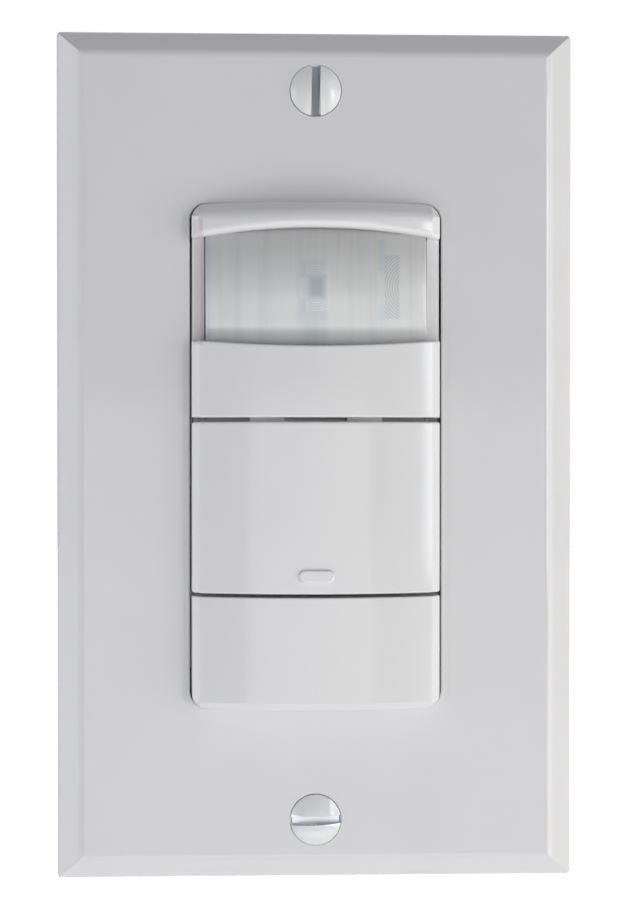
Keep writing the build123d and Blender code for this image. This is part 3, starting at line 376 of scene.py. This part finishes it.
profile = half_profile(-1, left_half)[::-1] + half_profile(1, right_half)[1:]
shape = bmesh.new()
line = [shape.verts.new((x, y, low.z)) for x, y in profile]
for first, second in zip(line, line[1:]):
    shape.edges.new((first, second))
swept = bmesh.ops.extrude_edge_only(shape, edges=shape.edges[:])
raised = [item for item in swept["geom"] if isinstance(item, bmesh.types.BMVert)]
bmesh.ops.translate(shape, vec=(0, 0, high.z - low.z), verts=raised)
bmesh.ops.recalc_face_normals(shape, faces=shape.faces)
# The wall grows inwards only where the open sheet's faces point to the front.
if sum(face.normal.y * face.calc_area() for face in shape.faces) > 0:
    bmesh.ops.reverse_faces(shape, faces=shape.faces)
everything = shape.verts[:] + shape.edges[:] + shape.faces[:]
bmesh.ops.solidify(shape, geom=everything, thickness=lens_wall)
bmesh.ops.recalc_face_normals(shape, faces=shape.faces)
middle = Vector((0, 0, (low.z + high.z) / 2))
bmesh.ops.rotate(shape, cent=middle, matrix=Matrix.Rotation(askew, 3, "Y"), verts=shape.verts)
for face in shape.faces:
    on_cut_edge = abs(face.normal.z) >= 0.5
    face.smooth = not on_cut_edge
# Solidify leaves the faces in a new order each run, so they are put in the order of their corners.
shape.verts.index_update()
corners = {face: sorted(vert.index for vert in face.verts) for face in shape.faces}
for rank, face in enumerate(sorted(shape.faces, key=corners.get)):
    face.index = rank
shape.faces.sort()
sheet = bpy.data.meshes.new("lens_sheet")
shape.to_mesh(sheet)
shape.free()
lens_sheet = bpy.data.objects.new("lens_sheet", sheet)
bpy.context.scene.collection.objects.link(lens_sheet)
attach(lens_sheet, "housing")
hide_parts("lens")

# Milky polyethylene lets light through but scatters it. The detector behind is painted on as a faint
# cool shade, darkest in its middle, a painted view through the sheet, and flow in the press has left
# upright streaks. Grooves 0.35 mm apart, a little coarser than the real ones so that they show, ring
# three centres. A cool band at the left bend is a painted reflection of the lamps on the left, and cool
# bands show where two fields meet.
groove_pitch = 0.00035
groove_depth = 0.00002
wave_turn = 0.314  # the distance between two waves of Blender's wave pattern at a scale of 1
detector_height = 0.0220
streak_width = 0.0012
streak_stretch = (1, 1, 0.04)
milky, tree, shader, place = start_material(
    "polyethylene_pressed_milky", Roughness=0.24, IOR=1.52
)


def on_lens(x, z, half_x, half_z, soft):
    """A mask on the lens: one inside an upright field about a point, all through the sheet."""
    sheet_level, sheet_reach = -0.0075, 0.004
    return within(tree, place, (x, sheet_level, z), (half_x, sheet_reach, half_z), soft)


def ring_field(ring_x, ring_z, x, z, half_x, half_z):
    """Ring grooves about a centre, seen only inside one upright field of the lens."""
    centred = add(
        tree, "ShaderNodeMapping", {"Location": (ring_x, 0, ring_z)}, {"Vector": place},
        vector_type="TEXTURE",
    )
    rings = add(
        tree, "ShaderNodeTexWave", {"Scale": wave_turn / groove_pitch},
        {"Vector": centred.outputs[0]}, wave_type="RINGS", rings_direction="Y",
    )
    field = on_lens(x, z, half_x, half_z, soft=0.00008)
    return add(
        tree, "ShaderNodeMath", links={0: rings.outputs["Fac"], 1: field}, operation="MULTIPLY"
    ).outputs[0]


drawn_out = add(tree, "ShaderNodeMapping", {"Scale": streak_stretch}, {"Vector": place})
streaks = add(
    tree, "ShaderNodeTexNoise", {"Scale": 1 / streak_width, "Detail": 2},
    {"Vector": drawn_out.outputs[0]},
)
streaked = add(
    tree, "ShaderNodeMapRange", {"From Min": 0.45, "From Max": 0.75, "To Max": 0.6},
    {"Value": streaks.outputs["Fac"]},
)
# Painted: a reflection at the left bend, and the detector's shade as if seen through the sheet.
painted_bend_reflection = on_lens(-0.0142, 0.022, half_x=0.0003, half_z=0.02, soft=0.0002)
upper_band = on_lens(0.0086, 0.0263, half_x=0.00045, half_z=0.0020, soft=0.00025)
lower_band = on_lens(0.0086, 0.0188, half_x=0.00040, half_z=0.0011, soft=0.00025)
painted_detector_column = on_lens(-0.0006, 0.0180, half_x=0.0013, half_z=0.0040, soft=0.0007)
painted_detector_shade = on_lens(-0.0006, detector_height, half_x=0.0014, half_z=0.0034, soft=0.0008)
painted_detector_core = on_lens(0.00004, 0.0221, half_x=0.00100, half_z=0.0014, soft=0.0005)
middle_rings = ring_field(
    0.0001, detector_height, x=0.0002, z=detector_height, half_x=0.0016, half_z=0.0031
)
left_rings = ring_field(
    -0.0028, detector_height, x=-0.0017, z=detector_height, half_x=0.0006, half_z=0.0014
)
right_rings = ring_field(0.0130, 0.0222, x=0.0100, z=0.0222, half_x=0.0010, half_z=0.0042)
outside_core = add(tree, "ShaderNodeMath", {0: 1.0}, {1: painted_detector_core}, operation="SUBTRACT")
round_core = add(
    tree, "ShaderNodeMath", links={0: middle_rings, 1: outside_core.outputs[0]},
    operation="MULTIPLY",
)
pale_rings = add(
    tree, "ShaderNodeMath", links={0: round_core.outputs[0], 1: left_rings}, operation="MAXIMUM"
)
pale_share = add(tree, "ShaderNodeMath", {1: 0.5}, {0: pale_rings.outputs[0]}, operation="MULTIPLY")
dark_share = add(tree, "ShaderNodeMath", {1: 0.6}, {0: right_rings}, operation="MULTIPLY")
lay_colours(
    tree, shader, clouds(tree, place, size=0.003, low="#CBCBCC", high="#CFCFCF"),
    (streaked.outputs["Result"], "#C0C0C1"),
    (painted_bend_reflection, "#C4C6CE"),
    (upper_band, "#BFC6CC"),
    (lower_band, "#C2C8CC"),
    (painted_detector_column, "#BFC3C6"),
    (painted_detector_shade, "#B9BEC2"),
    (painted_detector_core, "#A8ADB1"),
    (pale_share.outputs[0], "#D6D9DB"),
    (dark_share.outputs[0], "#A4A6A9"),
)
grooves = add(
    tree, "ShaderNodeMath", links={0: pale_rings.outputs[0], 1: right_rings}, operation="MAXIMUM"
)
pressed = add(
    tree, "ShaderNodeBump", {"Strength": 0.4, "Distance": groove_depth},
    {"Height": grooves.outputs[0]},
)
tree.links.new(pressed.outputs["Normal"], shader.inputs["Normal"])
sheet.materials.append(milky)

# Front board and power board: glass-epoxy laminate, etched, drilled and coated with green solder mask. The
# front one stands behind the front frame and the power one lies on ledges in the rear housing.
net_size = 0.008
track_half = 0.035
track_depth = 0.00004
hole_spacing = 0.0035

# Solder mask over copper: a satin green. Tracks 0.6 mm wide, in a net of 4 by 2 mm, show through it as
# lighter raised lines, and the tinned holes of the parts as silver dots 1 mm across.
laminate, tree, shader, place = start_material("glass_epoxy_green_mask", Roughness=0.35, IOR=1.55)
upright = add(tree, "ShaderNodeMapping", {"Rotation": (math.radians(90), 0, 0)}, {"Vector": place})
tracks = add(
    tree, "ShaderNodeTexBrick",
    {
        "Scale": 1 / net_size, "Mortar Size": track_half, "Color1": linear("#000000"),
        "Color2": linear("#000000"), "Mortar": linear("#FFFFFF"),
    },
    {"Vector": upright.outputs[0]},
)
copper = add(tree, "ShaderNodeMath", {1: 0.5}, {0: tracks.outputs["Color"]}, operation="MULTIPLY")
holes = add(
    tree, "ShaderNodeTexVoronoi", {"Scale": 1 / hole_spacing, "Randomness": 0.6}, {"Vector": place}
)
tinned = add(
    tree, "ShaderNodeMapRange", {"From Min": 0.16, "From Max": 0.12},
    {"Value": holes.outputs["Distance"]},
).outputs["Result"]
lay_colours(
    tree, shader, clouds(tree, place, size=0.004, low="#1C5A35", high="#256B41"),
    (copper.outputs[0], "#4E9A63"), (tinned, "#B9BCBD"),
)
tree.links.new(tinned, shader.inputs["Metallic"])
etched = add(tree, "ShaderNodeBump", {"Distance": track_depth}, {"Height": tracks.outputs["Color"]})
tree.links.new(etched.outputs["Normal"], shader.inputs["Normal"])
finish_nodes(laminate, "front_board", "power_board")

# Passive infrared detector: a deep-drawn steel can, nickel plated, soldered to the front board, with a
# square silicon filter glued into a window in its cap.
can_height = 0.0223
draw_line_pitch = 0.0002
draw_line_depth = 0.00001

# Drawn nickel: bright and slightly warm, with fine circular lines on its cap.
nickel, tree, shader, place = start_material("steel_drawn_nickel_plated", Metallic=1, Roughness=0.22)
lay_colours(tree, shader, clouds(tree, place, size=0.002, low="#B4AFA6", high="#C5C1B8"))
centred = add(
    tree, "ShaderNodeMapping", {"Location": (0, 0, can_height)}, {"Vector": place},
    vector_type="TEXTURE",
)
draw_lines = add(
    tree, "ShaderNodeTexWave", {"Scale": wave_turn / draw_line_pitch, "Distortion": 0.5},
    {"Vector": centred.outputs[0]}, wave_type="RINGS", rings_direction="Y",
)
ringed = add(
    tree, "ShaderNodeBump", {"Strength": 0.5, "Distance": draw_line_depth},
    {"Height": draw_lines.outputs["Fac"]},
)
tree.links.new(ringed.outputs["Normal"], shader.inputs["Normal"])
finish_nodes(nickel, "pir_detector")

# Coated silicon: it looks like dark polished metal with a violet cast.
silicon, tree, shader, place = start_material("silicon_polished_coated", Metallic=1, Roughness=0.12)
lay_colours(tree, shader, clouds(tree, place, size=0.001, low="#35323A", high="#4A4650"))
grain(tree, shader, place, size=0.0006, depth=0.000005, strength=0.5)
finish_nodes(silicon, "pir_window")

# Photocell and indicator lamp: clear epoxy over a meander of dark photoconductor, and red-tinted epoxy
# cast round a lamp die. Both stand on the front board behind the lens.
meander_pitch = 0.0007

# Cast clear epoxy: smooth and glossy over a cream ceramic, with red-brown lines under it.
photo_resin, tree, shader, place = start_material(
    "epoxy_cast_clear_over_cadmium", Roughness=0.08, IOR=1.55
)
meander = add(
    tree, "ShaderNodeTexWave",
    {"Scale": wave_turn / meander_pitch, "Distortion": 2.0, "Detail": 0},
    {"Vector": place}, bands_direction="X",
)
cadmium = add(
    tree, "ShaderNodeMapRange", {"From Min": 0.62, "From Max": 0.74},
    {"Value": meander.outputs["Fac"]},
)
ceramic = clouds(tree, place, size=0.001, low="#D9C9A6", high="#E2D5B8")
lay_colours(tree, shader, ceramic, (cadmium.outputs["Result"], "#8A3B22"))
finish_nodes(photo_resin, "photocell")

# Cast red epoxy: a glossy deep red that lets a little light through.
lamp_resin, tree, shader, place = start_material(
    "epoxy_cast_red_diffused", Roughness=0.12, IOR=1.53, Transmission_Weight=0.25
)
lay_colours(tree, shader, clouds(tree, place, size=0.0015, low="#A8241C", high="#C13328"))
finish_nodes(lamp_resin, "indicator_led")

# Momentary switch and its plunger: a nylon body under a pressed steel cover, which is bent over its four
# sides, and a long nylon plunger that the button's post pushes in.
nylon_black = {"size": 0.002, "low": "#1B1C1E", "high": "#26272A"}

# Moulded nylon: a satin black with a fine even grain.
black_nylon, tree, shader, place = start_material(
    "nylon_moulded_satin_black", Roughness=0.42, IOR=1.53
)
lay_colours(tree, shader, clouds(tree, place, **nylon_black))
grain(tree, shader, place, size=0.0002, depth=0.00003)
finish_nodes(black_nylon, "switch_plunger")

# Nylon under steel: the same black, with a flat satin plate of bare metal across the front.
switch_body, tree, shader, place = start_material(
    "nylon_body_steel_cover", Roughness=0.36, IOR=1.53
)
steel_cover = within(
    tree, place, middle=(0, 0.0020, -0.008), half=(0.004, 0.0005, 0.004), soft=0.00003
)
lay_colours(tree, shader, clouds(tree, place, **nylon_black), (steel_cover, "#B2B4B5"))
tree.links.new(steel_cover, shader.inputs["Metallic"])
grain(tree, shader, place, size=0.0003, depth=0.00003)
finish_nodes(switch_body, "tact_switch")

# Trimmers and their dials: three blue thermoset bodies soldered to the front board, and three white nylon
# dials that stand on them, each with a screwdriver slot. The lift-off cover hides them.
soil_size = 0.0006

# Moulded thermoset: a dull even blue.
blue_resin, tree, shader, place = start_material("thermoset_moulded_blue", Roughness=0.4, IOR=1.55)
lay_colours(tree, shader, clouds(tree, place, size=0.0015, low="#27558F", high="#3266A4"))
grain(tree, shader, place, size=0.00025, depth=0.00003)
finish_nodes(blue_resin, "trimmers")

# Moulded nylon: a satin warm white. Finger and driver have left patchy grey on the dials' faces.
dial_nylon, tree, shader, place = start_material(
    "nylon_moulded_satin_white", Roughness=0.34, IOR=1.53
)
dial_faces = within(
    tree, place, middle=(0, -0.0005, -0.02568), half=(0.013, 0.0010, 0.0033), soft=0.0001
)
soil = add(tree, "ShaderNodeTexNoise", {"Scale": 1 / soil_size, "Detail": 3}, {"Vector": place})
soiled = add(
    tree, "ShaderNodeMath", links={0: dial_faces, 1: soil.outputs["Fac"]}, operation="MULTIPLY"
)
nylon = clouds(tree, place, size=0.0012, low="#DCDCD8", high="#E6E6E2")
lay_colours(tree, shader, nylon, (soiled.outputs[0], "#A9A9A6"))
grain(tree, shader, place, size=0.0002, depth=0.00002)
finish_nodes(dial_nylon, "time_dial", "light_dial", "range_dial")

# Controller chip and board header: a transfer-moulded black epoxy package with tinned gull-wing leads, and
# a nylon header whose gilt pins run from board to board.

# Moulded epoxy and tin: a matt, finely frosted black between rows of bright leads.
chip_epoxy, tree, shader, place = start_material(
    "epoxy_transfer_moulded_black", Roughness=0.55, IOR=1.6
)
package = within(
    tree, place, middle=(0.010, 0.0052, -0.002), half=(0.00196, 0.002, 0.0045), soft=0.00002
)
tin = clouds(tree, place, size=0.0006, low="#B4B6B7", high="#C8C9CA")
lay_colours(tree, shader, tin, (package, "#1E1E20"))
leads = add(tree, "ShaderNodeMath", {0: 1.0}, {1: package}, operation="SUBTRACT")
tree.links.new(leads.outputs[0], shader.inputs["Metallic"])
grain(tree, shader, place, size=0.00015, depth=0.00002, detail=3)
finish_nodes(chip_epoxy, "controller_chip")

# Nylon and gilt: satin black moulding, with yellow metal pins at both ends of it.
header_nylon, tree, shader, place = start_material(
    "nylon_header_gilt_pins", Roughness=0.4, IOR=1.53
)
moulding = within(
    tree, place, middle=(-0.0134, 0.0163, 0.02), half=(0.0011, 0.0075, 0.0080), soft=0.00005
)
gilt = clouds(tree, place, size=0.001, low="#C9A455", high="#D8B76C")
lay_colours(tree, shader, gilt, (moulding, "#202124"))
pins = add(tree, "ShaderNodeMath", {0: 1.0}, {1: moulding}, operation="SUBTRACT")
tree.links.new(pins.outputs[0], shader.inputs["Metallic"])
grain(tree, shader, place, size=0.0002, depth=0.00002)
finish_nodes(header_nylon, "board_header")

# Rear housing: grey polycarbonate, moulded in a spark-eroded tool and open to the front. Four screws draw
# it to the strap, and its pockets hold the terminals.
spark_size = 0.0004
spark_depth = 0.00006

# Spark-grained polycarbonate: a matt mid-grey with an even pebbled grain and soft edges.
grey_housing, tree, shader, place = start_material(
    "polycarbonate_spark_grained_grey", Roughness=0.52, IOR=1.58
)
lay_colours(tree, shader, clouds(tree, place, size=0.008, low="#7E8184", high="#8A8D8F"))
softened = add(tree, "ShaderNodeBevel", {"Radius": 0.0003}, samples=4)
sparks = add(tree, "ShaderNodeTexVoronoi", {"Scale": 1 / spark_size}, {"Vector": place})
pebbled = add(
    tree, "ShaderNodeBump", {"Strength": 0.7, "Distance": spark_depth},
    {"Height": sparks.outputs["Distance"], "Normal": softened.outputs[0]},
)
tree.links.new(pebbled.outputs["Normal"], shader.inputs["Normal"])
finish_nodes(grey_housing, "rear_body")

# Terminals: brass plates, stamped and bent, with two brass binding screws for the hot wires and one
# nickelled for the neutral. They stand in the pockets of the rear housing, open to its sides.
binding_shank = 0.00205
hot_places = [(0, 0.0164, 0.014), (0, 0.0164, -0.014)]
neutral_places = [(0, 0.0164, -0.014)]

# Stamped brass: yellow, dulled to brown in patches where it is handled, with fine tool marks.
brass, tree, shader, place = start_material("brass_stamped_tarnished", Metallic=1, Roughness=0.3)
lay_colours(tree, shader, clouds(tree, place, size=0.002, low="#A98343", high="#CBA75E"))
grain(tree, shader, place, size=0.0005, depth=0.00003, detail=3)
finish_nodes(brass, "terminal_plates")

# Brass plating: brighter and more even than the plates.
brass_screw, tree, shader, place = start_material(
    "brass_plated_binding_screw", Metallic=1, Roughness=0.27
)
lay_colours(tree, shader, clouds(tree, place, size=0.0015, low="#B28C49", high="#D2AF66"))
grain(tree, shader, place, **drawn)
cut_thread(
    "hot_screws", brass_screw, axis=0, radius=binding_shank, places=hot_places,
    first=0.0153, last=0.0205,
)

# Nickel plating: a bright silver, a little warmer than zinc.
nickel_screw, tree, shader, place = start_material(
    "nickel_plated_binding_screw", Metallic=1, Roughness=0.25
)
lay_colours(tree, shader, clouds(tree, place, size=0.0015, low="#B7B5AF", high="#CBC9C3"))
grain(tree, shader, place, **drawn)
cut_thread(
    "neutral_screw", nickel_screw, axis=0, radius=binding_shank,
    places=neutral_places, first=-0.0205, last=-0.0153,
)

# Relay and film capacitor: box-shaped polyester cases soldered to the power board and potted from below
# with epoxy, which shows as a duller brown face on the board's side.
case_grain = {"size": 0.0003, "depth": 0.00003, "edge_radius": 0.0004}

# Moulded polyester: satin black for the relay, with a fine grain and soft edges.
relay_case, tree, shader, place = start_material(
    "polyester_moulded_satin_black", Roughness=0.38, IOR=1.57
)
potted = within(
    tree, place, middle=(-0.003, 0.0248, 0.0176), half=(0.009, 0.0007, 0.011), soft=0.0001
)
case = clouds(tree, place, size=0.004, low="#202226", high="#2B2E33")
lay_colours(tree, shader, case, (potted, "#5B4A38"))
grain(tree, shader, place, **case_grain)
finish_nodes(relay_case, "relay")

# Moulded polyester: the same satin surface in the capacitor's warm yellow.
yellow_case, tree, shader, place = start_material(
    "polyester_moulded_satin_yellow", Roughness=0.4, IOR=1.57
)
potted = within(
    tree, place, middle=(-0.0106, 0.0248, -0.0058), half=(0.004, 0.0007, 0.007), soft=0.0001
)
case = clouds(tree, place, size=0.003, low="#D2A02C", high="#DEB040")
lay_colours(tree, shader, case, (potted, "#8A7440"))
grain(tree, shader, place, **case_grain)
finish_nodes(yellow_case, "film_capacitor")

# Filter capacitor: a drawn aluminium can in a shrunk black sleeve, standing on the power board. Its bare
# scored top faces the front.
can_x, can_z = 0.0082, -0.00355

# Shrunk sleeve: a glossy black film, slightly wrinkled, with a grey stripe down one side for the negative
# lead, and bare pale aluminium on top.
sleeve, tree, shader, place = start_material("aluminium_can_black_sleeve", Roughness=0.3, IOR=1.53)
stripe = within(
    tree, place, middle=(0.0132, 0.0185, can_z), half=(0.0016, 0.0062, 0.0012), soft=0.0001
)
bare_top = within(
    tree, place, middle=(can_x, 0.0118, can_z), half=(0.0042, 0.0003, 0.0042), soft=0.0001
)
film = clouds(tree, place, size=0.003, low="#17181B", high="#222327")
lay_colours(tree, shader, film, (stripe, "#9EA1A4"), (bare_top, "#C3C5C6"))
tree.links.new(bare_top, shader.inputs["Metallic"])
grain(tree, shader, place, size=0.0012, depth=0.00004)
finish_nodes(sleeve, "filter_capacitor")

# Choke and varistor: enamelled copper wire wound on a ferrite drum, and a zinc oxide disc dipped in blue
# epoxy. Both are soldered to the power board by their leads.
drum_x, drum_z = 0.0086, -0.0196
wire_pitch = 0.00035
wire_depth = 0.00015

# Wound wire: close glossy copper-red turns 0.35 mm apart, between the matt near-black flanges of the drum.
winding, tree, shader, place = start_material(
    "copper_wire_enamelled_wound", Metallic=0.7, Roughness=0.26
)
low_flange = within(
    tree, place, middle=(drum_x, 0.0244, drum_z), half=(0.005, 0.0008, 0.005), soft=0.0001
)
high_flange = within(
    tree, place, middle=(drum_x, 0.0164, drum_z), half=(0.005, 0.0006, 0.005), soft=0.0001
)
ferrite = add(tree, "ShaderNodeMath", links={0: low_flange, 1: high_flange}, operation="MAXIMUM")
enamel = clouds(tree, place, size=0.002, low="#9A4E22", high="#B8642F")
lay_colours(tree, shader, enamel, (ferrite.outputs[0], "#2C2B2D"))
wires = add(
    tree, "ShaderNodeTexWave", {"Scale": wave_turn / wire_pitch, "Distortion": 0.3},
    {"Vector": place}, bands_direction="Y",
)
turned = add(tree, "ShaderNodeBump", {"Distance": wire_depth}, {"Height": wires.outputs["Fac"]})
tree.links.new(turned.outputs["Normal"], shader.inputs["Normal"])
finish_nodes(winding, "choke")

# Dipped epoxy: a glossy mid-blue that has dried slightly lumpy.
blue_epoxy, tree, shader, place = start_material("epoxy_dipped_blue", Roughness=0.3, IOR=1.55)
lay_colours(tree, shader, clouds(tree, place, size=0.002, low="#2A5C9C", high="#3A70B0"))
grain(tree, shader, place, size=0.0018, depth=0.0002, strength=0.6)
finish_nodes(blue_epoxy, "varistor")

# Studio: a broad pale floor below the switch and a white world behind it. Both are white only to the
# camera and in gloss and glass, so the floor keeps the object's shadow and adds no light of its own.
bpy.ops.mesh.primitive_plane_add(size=12, location=(0, 0, -0.5))
floor = bpy.context.object
floor.name = "studio_floor"


def seen(tree):
    """One for a ray from the camera, in gloss or through glass, and nought for any other."""
    ray = add(tree, "ShaderNodeLightPath").outputs
    share = ray["Is Camera Ray"]
    for kind in ("Is Glossy Ray", "Is Transmission Ray"):
        share = add(
            tree, "ShaderNodeMath", links={0: share, 1: ray[kind]}, operation="MAXIMUM"
        ).outputs[0]
    return share


# Matt paper: a plain pale grey under its white.
paper, tree, shader, place = start_material("paper_matt_pale", Roughness=0.9)
lay_colours(tree, shader, clouds(tree, place, size=0.4, low="#E3E3E3", high="#E8E8E8"))
white = add(tree, "ShaderNodeEmission", {"Color": linear("#FFFFFF")}, {"Strength": seen(tree)})
both = add(tree, "ShaderNodeAddShader", links={0: shader.outputs[0], 1: white.outputs[0]})
tree.links.new(both.outputs[0], tree.nodes["Material Output"].inputs["Surface"])
floor.data.materials.append(paper)

# Behind the plate the room is bright, which lights the strap and the rear housing. In front it is dim.
dim_front, bright_back = 0.01, 0.75
world = bpy.data.worlds.new("studio")
bpy.context.scene.world = world
world.use_nodes = True
tree = world.node_tree
direction = add(tree, "ShaderNodeTexCoord")
apart = add(tree, "ShaderNodeSeparateXYZ", links={"Vector": direction.outputs["Generated"]})
behind = add(
    tree, "ShaderNodeMapRange",
    {"From Min": 0.05, "From Max": 0.5, "To Min": dim_front, "To Max": bright_back},
    {"Value": apart.outputs["Y"]},
)
level = add(
    tree, "ShaderNodeMath", links={0: seen(tree), 1: behind.outputs["Result"]}, operation="MAXIMUM"
)
background = tree.nodes["Background"]
background.inputs["Color"].default_value = linear("#FFFFFF")
tree.links.new(level.outputs[0], background.inputs["Strength"])

# Lamps: soft panels that face the middle of the plate. Most light comes from the right and from below, a
# little less from the left, and hardly any from above. A row gives a lamp's degrees to the right of
# straight in front and above it, its width and height in metres, its watts and its colour.
lamp_distance = 0.6
for name, right_of_front, above, width, height, watts, code in (
    ("right_softbox", 68, -8, 0.50, 0.60, 2.05, "#FFFBF0"),
    ("right_edge", 88, -5, 0.30, 0.70, 0.20, "#FFFFFF"),
    ("right_window", 39.3, 6, 0.10, 0.28, 0.56, "#F4F9FF"),
    ("right_window_low", 40, -20, 0.10, 0.20, 0.15, "#F4F9FF"),
    ("right_window_high", 41, 30, 0.19, 0.26, 0.16, "#FFFFFF"),
    ("low_softbox", 0, -60, 0.80, 0.40, 2.0, "#F6FBFF"),
    ("front_fill", 0, -16, 0.40, 0.40, 0.55, "#FFFFFF"),
    ("left_softbox", -66, -4, 0.45, 0.60, 0.7, "#FDFDFF"),
    ("left_strip", -46, -2, 0.06, 0.50, 0.3, "#F4F8FF"),
    ("left_edge", -90, -4, 0.25, 0.70, 0.85, "#FAFBFF"),
    ("top_strip", 0, 78, 0.50, 0.22, 0.16, "#C9D4FF"),
):
    across, rise = math.radians(right_of_front), math.radians(above)
    towards = Vector(
        (math.sin(across) * math.cos(rise), -math.cos(across) * math.cos(rise), math.sin(rise))
    )
    side = Vector((0, 0, 1)).cross(towards).normalized()
    turn = Matrix((side, towards.cross(side), towards)).transposed()
    light = bpy.data.lights.new(name, "AREA")
    light.shape = "RECTANGLE"
    light.size = width
    light.size_y = height
    light.energy = watts
    light.color = linear(code)[:3]
    holder = bpy.data.objects.new(name, light)
    holder.matrix_world = Matrix.Translation(towards * lamp_distance) @ turn.to_4x4()
    bpy.context.scene.collection.objects.link(holder)

# Camera where the photograph was taken from, close to the plate and almost square to it.
tilt_down = 0.42
turn_right = 1.50
camera = bpy.data.objects.new("camera", bpy.data.cameras.new("camera"))
camera.location = (-0.00565, -0.1850, 0.00210)
camera.rotation_euler = (math.radians(90 - tilt_down), 0, math.radians(-turn_right))
camera.data.sensor_fit = "VERTICAL"
camera.data.sensor_height = 36
camera.data.lens = 54.04
camera.data.clip_start = 0.01
bpy.context.scene.collection.objects.link(camera)
bpy.context.scene.camera = camera
bpy.context.scene.view_settings.view_transform = "Standard"
